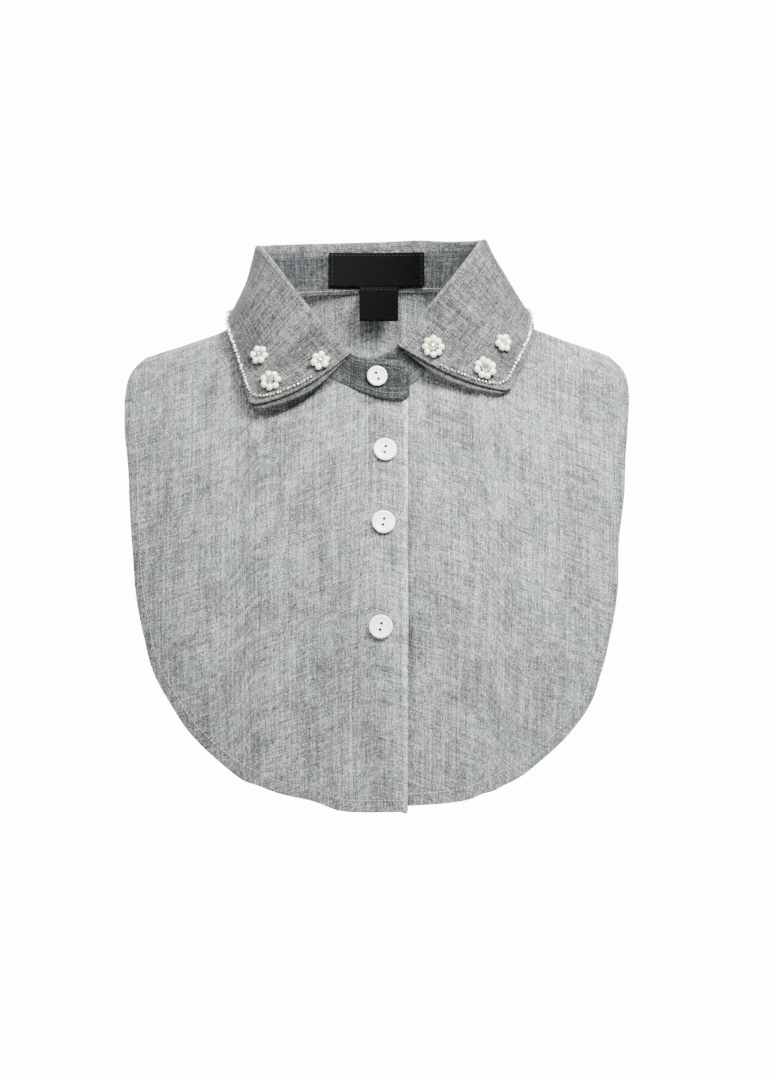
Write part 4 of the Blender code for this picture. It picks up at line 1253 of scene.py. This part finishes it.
# %% Tree that sews
STITCH_PITCH, STITCH_LENGTH, STITCH_THICK = 2.6 * MM, 2.0 * MM, 0.5 * MM
sewing, given = new_tree("sewing", ("Pitch", "NodeSocketFloat", STITCH_PITCH),
                         ("Length", "NodeSocketFloat", STITCH_LENGTH),
                         ("Thickness", "NodeSocketFloat", STITCH_THICK), ("Seed", "NodeSocketInt", 4))
seam_curve = put(sewing, "GeometryNodeMeshToCurve", {"Mesh": given["Geometry"]}).outputs["Curve"]
spots = put(sewing, "GeometryNodeCurveToPoints", {"Curve": seam_curve, "Length": given["Pitch"]}, mode="LENGTH")
oval = put(sewing, "GeometryNodeMeshUVSphere", {"Segments": 8, "Rings": 6, "Radius": 0.5}).outputs["Mesh"]
varied = put(sewing, "FunctionNodeRandomValue", {"Min": 0.8, "Max": 1.1, "Seed": given["Seed"]}, data_type="FLOAT")
long = put(sewing, "ShaderNodeMath", {0: given["Length"], 1: varied.outputs[1]}, operation="MULTIPLY").outputs[0]
oval_size = put(sewing, "ShaderNodeCombineXYZ", {"X": given["Thickness"], "Y": given["Thickness"], "Z": long})
laid = put(sewing, "GeometryNodeInstanceOnPoints", {
    "Points": spots.outputs["Points"], "Instance": oval, "Rotation": spots.outputs["Rotation"],
    "Scale": oval_size.outputs["Vector"]}).outputs["Instances"]
end_tree(sewing, laid, THREAD_FINISH)


def sew(name, lines, slot="chambray", finish=None, **values):
    made = grown(name, line_mesh(name, lines), sewing, **values)
    if finish:
        made.data.materials.clear()
        made.data.materials.append(finish)
    made.data.shade_smooth()
    return dress(made, slot=slot)


# %% [markdown]
# The hems follow their row of the panel's own grid. Lines that cross a panel, such as the two
# beside the buttons, are dropped onto the cloth from in front.

# %% Seams of the panels
def cloth_tree(piece):
    bpy.context.view_layer.update()
    return BVHTree.FromObject(piece, bpy.context.evaluated_depsgraph_get())


OVER_TREE, UNDER_TREE = cloth_tree(fronts["front_over"][0]), cloth_tree(fronts["front_under"][0])
FORWARD = Vector((0, 1, 0))


def on_front(x, z, tree=OVER_TREE):
    """Place on the outside of a front, straight behind a place in front of it."""
    return tree.ray_cast(Vector((x, -0.5, z)), FORWARD)[:2]


def hem_line(face, edges):
    row = int(np.argmin(np.abs(edges[0] - HEM_STITCH)))
    return [Vector(point) for point in face[:, row]]


def crossing(points, tree=OVER_TREE, step=4):
    """Line on a front through (x, z) points in mm."""
    line = []
    for (x1, z1), (x2, z2) in zip(points, points[1:]):
        count = max(int(math.hypot(x2 - x1, z2 - z1) / step), 1)
        line += [on_front(mix(x1, x2, n / count) * MM, mix(z1, z2, n / count) * MM, tree)[0] for n in range(count)]
    return [spot for spot in line if spot]


PLACKET_INSIDE = ((-5.7, -53), (-5.7, -115), (-8, -140), (-11.6, -172), (-13.8, -204), (-15.8, -242), (-14.4, -297))
PLACKET_EDGE_INSET = 5.5
placket_edge = [((LAP_EDGE + edge_sway(z * MM)) / MM - PLACKET_EDGE_INSET, z) for z in range(-60, -300, -12)]
hems = [hem_line(face, edges) for _, face, edges in fronts.values()] + [hem_line(back_face, back_edges)]
sew("hem_stitches", hems)
sew("placket_stitches", [crossing(PLACKET_INSIDE), crossing(placket_edge)])

# %% [markdown]
# The tab and the band above it are sewn round twice, a few threads apart.

# %% Seams of the stand
STAND_TREE = cloth_tree(stand_piece)


def on_stand(turn, level):
    """Place on the outside of the stand."""
    middle = stand_point(turn, level)
    out = ring_out(turn)
    spot = STAND_TREE.ray_cast(middle + out * 6 * MM, -out, 8 * MM)[0]
    return spot or middle + out * STAND_HALF


def stand_line(level, start, end, count=70):
    turns = [mix(start, end, share) for share in shares(count)]
    return [on_stand(turn, level) for turn in turns]


tab_from, tab_to = tab_turn(OVER, TAB_PAST - 2.2 * MM), -leaf_end(OVER) + 0.35
sew("tab_stitches", [stand_line(0.90, tab_from, tab_to), stand_line(0.80, tab_from, tab_to),
                     stand_line(0.08, tab_from, tab_to),
                     [on_stand(tab_from, level) for level in shares(8)[1:-1]],
                     stand_line(0.08, tab_to, leaf_end(UNDER) - 0.1, 160)],
    finish=STAND_THREAD, pitch=2.2 * MM, length=1.7 * MM, thickness=0.4 * MM)


def inside_line(level, start, end, count=90):
    """Line on the inside of the stand."""
    line = []
    for share in shares(count):
        turn = mix(start, end, share)
        middle, out = stand_point(turn, level), ring_out(turn)
        spot = STAND_TREE.ray_cast(middle - out * 6 * MM, out, 8 * MM)[0]
        line.append(spot or middle - out * STAND_HALF)
    return line


sew("stand_stitches", [inside_line(0.86, -1.9, 1.9), inside_line(0.06, -1.9, 1.9)], finish=STAND_THREAD,
    thickness=0.4 * MM)

# %% [markdown]
# The labels are caught down with black thread along their short ends and along the top.

# %% Seams of the labels
def label_line(grid, first, last):
    """Line on the inner face of a label between two of its (across, down) shares."""
    points = []
    for share in shares(14):
        across, down = mix(first[0], last[0], share), mix(first[1], last[1], share)
        column = grid[round(across * (len(grid) - 1))]
        spot = column[round(down * (len(column) - 1))]
        inward = Vector((COLLAR_SHIFT - spot.x, -spot.y, 0)).normalized()
        points.append(spot + inward * 0.35 * MM)
    return points


sew("label_stitches", [label_line(neck_label_grid, (0.03, 0.05), (0.03, 0.95)),
                       label_line(neck_label_grid, (0.97, 0.05), (0.97, 0.95)),
                       label_line(neck_label_grid, (0.03, 0.05), (0.97, 0.05)),
                       label_line(care_label_grid, (0.08, 0.07), (0.92, 0.07))],
    slot="label_satin", finish=BLACK_THREAD, thickness=0.35 * MM)

# %% [markdown]
# ## Beads along the edge of the leaf
# Small silver-lined beads are sewn by hand, one by one, so they are not quite even. Each is a
# short facetted drum. The tree sets them along the string, turns each at random, and varies its
# size a little.

# %% String of seed beads
LEAF_WALL = 1.6 * MM
TRIM_INSET_FRONT, TRIM_INSET_OVER, TRIM_INSET_UNDER = 7.2 * MM, 3.4 * MM, 5.2 * MM
TRIM_TURN = 0.92
TRIM_RISE = 4 * MM          # the string climbs a little where it passes over the shoulder
BEAD_SIZE, BEAD_PITCH = 2.0 * MM, 2.15 * MM
LEAF_TREE = cloth_tree(leaf_piece)


def on_leaf(place, down):
    """Place and outward direction on the outer face of the leaf's cloth."""
    out = leaf_out(place, down)
    spot, normal, _, _ = LEAF_TREE.ray_cast(leaf_point(place, down) + out * 6 * MM, -out, 10 * MM)
    return (spot, normal) if spot else (leaf_point(place, down) + out * LEAF_HALF, out)


def inset_place(side, down):
    """Place that lies the trim's inset from the front edge of the leaf."""
    step = 0.05
    per_share = (leaf_point(side, down) - leaf_point(side * (1 - step), down)).length / step
    return side * (1 - TRIM_INSET_FRONT / per_share)


def inset_down(place):
    """Share down the leaf that lies the trim's inset from its edge."""
    inset = mix(TRIM_INSET_OVER, TRIM_INSET_UNDER, smooth(-0.3, 0.3, place))
    step = 0.1
    per_share = (leaf_point(place, 1) - leaf_point(place, 1 - step)).length / step
    return 1 - (inset + TRIM_RISE * math.exp(-((abs(place) - 0.5) / 0.1) ** 2)) / per_share


def trim_half(side):
    places = [(inset_place(side, down), down) for down in (0.35, 0.44, 0.53, 0.62, 0.71, 0.79)]
    turned = side * TRIM_TURN
    corner = inset_down(turned)
    for back, fall in ((0.1, 0.6), (0.45, 0.92)):
        places.append((mix(inset_place(side, corner), turned, back), mix(0.79, corner, fall)))
    return places + [(turned * (1 - share), inset_down(turned * (1 - share))) for share in shares(60)[:-1]]


BEAD_JITTER = 0.3 * MM
beading, given = new_tree("beading", ("Pitch", "NodeSocketFloat", BEAD_PITCH), ("Size", "NodeSocketFloat", BEAD_SIZE),
                          ("Round", "NodeSocketBool", False), ("Seed", "NodeSocketInt", 11))
string = put(beading, "GeometryNodeMeshToCurve", {"Mesh": given["Geometry"]}).outputs["Curve"]
spots = put(beading, "GeometryNodeCurveToPoints", {"Curve": string, "Length": given["Pitch"]}, mode="LENGTH")
sway = put(beading, "FunctionNodeRandomValue", {
    0: (-BEAD_JITTER,) * 3, 1: (BEAD_JITTER,) * 3, "Seed": given["Seed"]}, data_type="FLOAT_VECTOR")
nudged = put(beading, "GeometryNodeSetPosition", {"Geometry": spots.outputs["Points"], "Offset": sway.outputs[0]})
drum = put(beading, "GeometryNodeMeshIcoSphere", {"Radius": 0.5, "Subdivisions": 2}).outputs["Mesh"]
flat = put(beading, "GeometryNodeSetShadeSmooth", {"Geometry": drum, "Shade Smooth": given["Round"]}).outputs["Geometry"]
swing = put(beading, "FunctionNodeRandomValue", {
    0: (0, 0, 0), 1: (math.tau, math.tau, math.tau), "Seed": given["Seed"]}, data_type="FLOAT_VECTOR")
vary = put(beading, "FunctionNodeRandomValue", {
    0: (0.72, 0.72, 0.72), 1: (1.08, 1.08, 1.08), "Seed": given["Seed"]}, data_type="FLOAT_VECTOR")
scaled = put(beading, "ShaderNodeVectorMath", {0: vary.outputs[0], "Scale": given["Size"]}, operation="SCALE")
strung = put(beading, "GeometryNodeInstanceOnPoints", {
    "Points": nudged.outputs["Geometry"], "Instance": flat, "Rotation": swing.outputs[0],
    "Scale": scaled.outputs["Vector"]}).outputs["Instances"]
end_tree(beading, strung, GLASS)

SIDE_ROWS = 8               # places of each half that lie beside the front edge
halves = [trim_half(OVER), trim_half(UNDER)]
bottom = halves[0][SIDE_ROWS:] + [(0, inset_down(0))] + halves[1][:SIDE_ROWS - 1:-1]


def string_points(places):
    return [spot + normal * BEAD_SIZE * 0.4 for spot, normal in (on_leaf(*place) for place in places)]


sides = [string_points(half[:SIDE_ROWS + 1]) for half in halves]
crystals = grown("crystal_beads", line_mesh("crystal_beads", sides), beading, pitch=2.3 * MM, size=2.1 * MM)
dress(crystals, slot="bead_silver")
outer = line_mesh("seed_beads", [string_points(bottom)])
bead_string = grown("seed_beads", outer, beading, pitch=2.35 * MM, size=2.35 * MM, round=True)
bead_string.data.materials.clear()
bead_string.data.materials.append(SILVER_PEARL)
dress(bead_string, "bead_trim", slot="bead_silver")

# %% [markdown]
# ## Flowers of pearls
# Six to eight pearls are sewn in a ring, and a crystal fills the middle. The tree makes one ring
# flat; the ring is then laid on the leaf, square to the cloth there.

# %% Flowers
PEARL_RADIUS, PEARL_MEET = 2.25 * MM, 0.86
PEARL_SLIP = 0.4 * MM       # no pearl is sewn quite in its place
FLOWERS = (
    # node, place round the leaf, share down it, petals, turn in degrees
    ("flower_1", -0.850, 0.66, 6, 0),
    ("flower_2", -0.930, 0.68, 7, 10),
    ("flower_3", -0.955, 0.205, 6, 20),
    ("flower_4", 0.945, 0.205, 8, 0),
    ("flower_5", 0.930, 0.67, 8, 15),
    ("flower_6", 0.830, 0.69, 6, 5),
)
petalling, given = new_tree("petalling", ("Petals", "NodeSocketInt", 6), ("Ring", "NodeSocketFloat", 4 * MM),
                            ("Pearl", "NodeSocketFloat", PEARL_RADIUS), ("Seed", "NodeSocketInt", 2))
circle = put(petalling, "GeometryNodeMeshCircle", {"Vertices": given["Petals"], "Radius": given["Ring"]})
ball = put(petalling, "GeometryNodeMeshUVSphere", {"Segments": 24, "Rings": 16, "Radius": given["Pearl"]})
round_ball = put(petalling, "GeometryNodeSetShadeSmooth", {"Geometry": ball.outputs["Mesh"]}).outputs["Geometry"]
jitter = put(petalling, "FunctionNodeRandomValue", {
    0: (0.88, 0.88, 0.84), 1: (1.06, 1.06, 1.0), "Seed": given["Seed"]}, data_type="FLOAT_VECTOR")
slip = put(petalling, "FunctionNodeRandomValue", {
    0: (-PEARL_SLIP,) * 3, 1: (PEARL_SLIP,) * 3, "Seed": given["Seed"]}, data_type="FLOAT_VECTOR")
sewn_on = put(petalling, "GeometryNodeSetPosition", {"Geometry": circle.outputs["Mesh"], "Offset": slip.outputs[0]})
ring_of = put(petalling, "GeometryNodeInstanceOnPoints", {
    "Points": sewn_on.outputs["Geometry"], "Instance": round_ball, "Scale": jitter.outputs[0]}).outputs["Instances"]
end_tree(petalling, ring_of, PEARL)


def lay(piece, centre, out, up=None):
    """Moves a flat mesh onto a place: its own +Z turns to the outward direction."""
    across = (up or Vector((0, 0, 1))).cross(out).normalized()
    turned = Matrix((across, out.cross(across), out)).transposed().to_4x4()
    piece.data.transform(Matrix.Translation(centre) @ turned)
    return piece


for number, (node, place, down, petals, turn) in enumerate(FLOWERS):
    ring = PEARL_RADIUS * PEARL_MEET / math.sin(math.pi / petals)
    spot, out = on_leaf(place, down)
    start = line_mesh(node, [[(0, 0, 0), (0, 0, MM)]])
    flower = grown(f"{node}_pearls", start, petalling, petals=petals, ring=ring, seed=number)
    flower.data.transform(Matrix.Rotation(math.radians(turn), 4, "Z"))
    lay(flower, spot + out * PEARL_RADIUS * 0.8, out)
    dress(flower, node, slot="pearl")
    middle = [(0, 0, 0), (0, 0, 0.1 * MM)]
    size = max(2 * (ring - PEARL_RADIUS) * 1.15, 1.8 * MM)
    crystal = grown(f"{node}_crystal", line_mesh("middle", [middle]), beading, pitch=1.0, size=size)
    lay(crystal, spot + out * PEARL_RADIUS * 1.1, out)
    dress(crystal, slot="bead_silver")

# %% [markdown]
# ## Buttons
# Each button is a disc of resin turned on a lathe, with a raised rim round a shallow dish and two
# holes. A profile is spun to make the disc, and the holes are cut through it.

# %% Buttons
BUTTON_RADIUS, COLLAR_BUTTON_RADIUS, BUTTON_THICK = 7.3 * MM, 6.3 * MM, 2.2 * MM
HOLE_RADIUS, HOLE_APART, HOLE_SLANT = 0.95 * MM, 3.8 * MM, 0.4
BUTTON_SHANK = 0.6 * MM
BUTTON_PROFILE = (
    # share of the radius, share of the thickness, for a line from the back round to the middle
    (0.00, 0.00), (0.70, 0.00), (0.86, 0.06), (0.95, 0.22), (0.99, 0.45), (1.00, 0.62), (0.985, 0.78),
    (0.95, 0.91), (0.90, 0.98), (0.84, 1.00), (0.79, 0.97), (0.74, 0.90), (0.68, 0.83), (0.60, 0.79),
    (0.45, 0.77), (0.00, 0.77),
)
BUTTONS = (
    # node, share of the lap's edge, fall as a share of the length
    ("button_1", 0.29, 0.277),
    ("button_2", 0.24, 0.424),
    ("button_3", 0.15, 0.633),
)


def lathe_mesh(name, profile, segments=64):
    """Closed mesh of a profile of (radius, height) spun round Z."""
    verts = [(0, 0, profile[0][1])]
    for radius, height in profile[1:-1]:
        verts += [(radius * math.cos(math.tau * n / segments), radius * math.sin(math.tau * n / segments), height)
                  for n in range(segments)]
    verts.append((0, 0, profile[-1][1]))
    last = len(verts) - 1
    rings = len(profile) - 2
    faces = []
    for n in range(segments):
        m = (n + 1) % segments
        faces.append((0, 1 + m, 1 + n))
        for ring in range(rings - 1):
            low, high = 1 + ring * segments, 1 + (ring + 1) * segments
            faces.append((low + n, low + m, high + m, high + n))
        top = 1 + (rings - 1) * segments
        faces.append((top + n, top + m, last))
    mesh = bpy.data.meshes.new(name)
    mesh.from_pydata(verts, [], faces)
    return mesh


def plain(name, source):
    """Plain copy of an object with its modifiers worked in; the source is removed."""
    bpy.context.view_layer.update()
    mesh = bpy.data.meshes.new_from_object(source.evaluated_get(bpy.context.evaluated_depsgraph_get()))
    mesh.name = name
    source.modifiers.clear()
    bpy.data.objects.remove(source)
    made = bpy.data.objects.new(name, mesh)
    bpy.context.scene.collection.objects.link(made)
    return made


def button_piece(node, radius, place, out, slant=-0.24):
    profile = [(share * radius, rise * BUTTON_THICK) for share, rise in BUTTON_PROFILE]
    disc = bpy.data.objects.new(node, lathe_mesh(node, profile))
    bpy.context.scene.collection.objects.link(disc)
    drills, threads_in = [], []
    for end in (-1, 1):
        spot = Vector((-end * HOLE_APART * slant / 2, end * HOLE_APART / 2, 0))
        post = [(0, -MM), (HOLE_RADIUS, -MM), (HOLE_RADIUS, 2 * BUTTON_THICK), (0, 2 * BUTTON_THICK)]
        drill = bpy.data.objects.new("drill", lathe_mesh("drill", post, 24))
        drill.data.transform(Matrix.Translation(spot))
        bpy.context.scene.collection.objects.link(drill)
        cut = disc.modifiers.new("hole", "BOOLEAN")
        cut.object, cut.solver = drill, "EXACT"
        drills.append(drill)
        # Each hole is plugged deep down with near-black thread: the thread is real, and its dark colour also stands in
        # as painted shade inside the hole.
        knot = [(0, 0.1 * MM), (0.92 * MM, 0.1 * MM), (0.92 * MM, 1.0 * MM), (0.5 * MM, 1.3 * MM), (0, 1.35 * MM)]
        thread = lathe_mesh("thread", knot, 12)
        thread.transform(Matrix.Translation(spot))
        threads_in.append(thread)
    made = plain(f"{node}_resin", disc)
    for drill in drills:
        bpy.data.objects.remove(drill)
    made.data.materials.clear()
    made.data.materials.append(RESIN)
    made.data.shade_smooth()
    made.data.set_sharp_from_angle(angle=math.radians(40))
    lay(made, place, out)
    dress(made, node, slot="button_resin")
    for number, thread in enumerate(threads_in):
        knot = bpy.data.objects.new(f"{node}_thread_{number + 1}", thread)
        bpy.context.scene.collection.objects.link(knot)
        thread.materials.append(BLACK_THREAD)
        thread.shade_smooth()
        lay(knot, place, out)
        dress(knot, slot="button_resin")
    print(made.name, len(made.data.polygons), "faces")


def panel_out(x, z):
    """Outward direction of the over front, smoothed over a few millimetres."""
    step = 2 * MM
    across = Vector((2 * step, front_y(x + step, z, OVER) - front_y(x - step, z, OVER), 0))
    down = Vector((0, front_y(x, z - step, OVER) - front_y(x, z + step, OVER), -2 * step))
    return down.cross(across).normalized()


for node, share, fall in BUTTONS:
    x, z = share * LAP_EDGE, -fall * BIB_LENGTH
    spot = on_front(x, z)[0]
    button_piece(node, BUTTON_RADIUS, spot + panel_out(x, z) * 0.25 * MM, panel_out(x, z))

COLLAR_BUTTON_PAST = 3.8 * MM
button_turn = tab_turn(OVER, COLLAR_BUTTON_PAST)
rise = stand_point(button_turn, 0.6) - stand_point(button_turn, 0.4)
beside = stand_point(button_turn - 0.02, 0.5) - stand_point(button_turn + 0.02, 0.5)
button_out = beside.cross(rise).normalized()
button_piece("button_collar", COLLAR_BUTTON_RADIUS,
             stand_point(button_turn, 0.5) + button_out * (STAND_HALF + BUTTON_SHANK), button_out, HOLE_SLANT)

# %% [markdown]
# ## Frayed ends
# The fronts and the back are joined at the shoulders with the raw ends left out, and a few
# threads hang from the hem. Each is a short wandering line that a tree turns into a thin thread.

# %% Loose threads
random.seed(5)
HAIR = 0.12 * MM
hairing, given = new_tree("hairing", ("Radius", "NodeSocketFloat", HAIR))
hair_curve = put(hairing, "GeometryNodeMeshToCurve", {"Mesh": given["Geometry"]}).outputs["Curve"]
hair_round = put(hairing, "GeometryNodeCurvePrimitiveCircle", {"Resolution": 5, "Radius": given["Radius"]}).outputs["Curve"]
hair_body = put(hairing, "GeometryNodeCurveToMesh", {
    "Curve": hair_curve, "Profile Curve": hair_round, "Fill Caps": True}).outputs["Mesh"]
end_tree(hairing, hair_body, THREAD_FINISH)


def hair(start, heading, length, curl=0.5):
    """Wandering line from a place, bending a little at each step."""
    line, direction = [start.copy()], heading.normalized()
    for _ in range(7):
        direction = (direction + Vector([random.uniform(-curl, curl) for _ in range(3)])).normalized()
        line.append(line[-1] + direction * length / 7)
    return line


hairs = []
for name, (_, face, edges) in fronts.items():
    outer = [Vector(point) for point in face[:, -1]]
    for spot in outer:
        away = Vector((spot.x, 0, 0)).normalized()
        shoulder, hem = spot.z > -26 * MM, spot.z < -255 * MM
        if shoulder and random.random() < 0.8 or hem and random.random() < 0.16:
            heading = away + Vector((0, 0, -0.7 if shoulder else -1.6))
            hairs.append(hair(spot, heading, random.uniform(1.5, 4.5) * MM, 0.6))
frayed = grown("frayed_threads", line_mesh("frayed", hairs), hairing)
dress(frayed, slot="chambray")

# %% [markdown]
# ## Floor and light
# The photograph was lit by wide soft lights in a white room: the colours are even, the shadows
# pale, and the right side a little brighter. A large pale floor lies well below the dickey.

# %% Floor and light
world = bpy.data.worlds.new("white_room")
world.use_nodes = True
ROOM_LIGHT, ROOM_WHITE = 0.11, 14.0     # what lights the dickey, and what the camera sees behind it
seen = put(world.node_tree, "ShaderNodeLightPath").outputs["Is Camera Ray"]
strength = put(world.node_tree, "ShaderNodeMapRange", {"Value": seen, "To Min": ROOM_LIGHT, "To Max": ROOM_WHITE})
room = world.node_tree.nodes["Background"]
room.inputs["Color"].default_value = linear("#ffffff")
world.node_tree.links.new(strength.outputs["Result"], room.inputs["Strength"])
bpy.context.scene.world = world


def disc_mesh(name, radius, count=96):
    rim = [(radius * math.cos(math.tau * n / count), radius * math.sin(math.tau * n / count), 0)
           for n in range(count)]
    mesh = bpy.data.meshes.new(name)
    mesh.from_pydata(rim, [], [tuple(range(count))])
    return mesh


def soft_light(name, place, aim, size, power):
    data = bpy.data.lights.new(name, "AREA")
    data.shape, data.size, data.energy = "DISK", size, power
    light = bpy.data.objects.new(name, data)
    light.location = place
    light.rotation_euler = (Vector(aim) - Vector(place)).to_track_quat("-Z", "Y").to_euler()
    bpy.context.scene.collection.objects.link(light)
    return light


floor_finish, floor_tree, floor_shader = new_finish("pale_floor", Roughness=0.9)
cloud = object_noise(floor_tree, 400)
floor_tree.links.new(ramp(floor_tree, cloud, (0.3, "#f4f4f4"), (0.7, "#f8f8f8")), floor_shader.inputs["Base Color"])
floor = bpy.data.objects.new("floor", disc_mesh("floor", 2.2))
floor.data.transform(Matrix.Translation((0, 0, -0.9)))
floor.data.materials.append(floor_finish)
bpy.context.scene.collection.objects.link(floor)
AIM = (0, 0, -0.12)
soft_light("key", (0.5, -0.7, 0.8), AIM, 0.42, 60)
soft_light("back", (-0.7, 1.5, 1.3), AIM, 0.9, 95)
soft_light("fill", (-0.15, -0.9, 0.75), AIM, 0.55, 21)
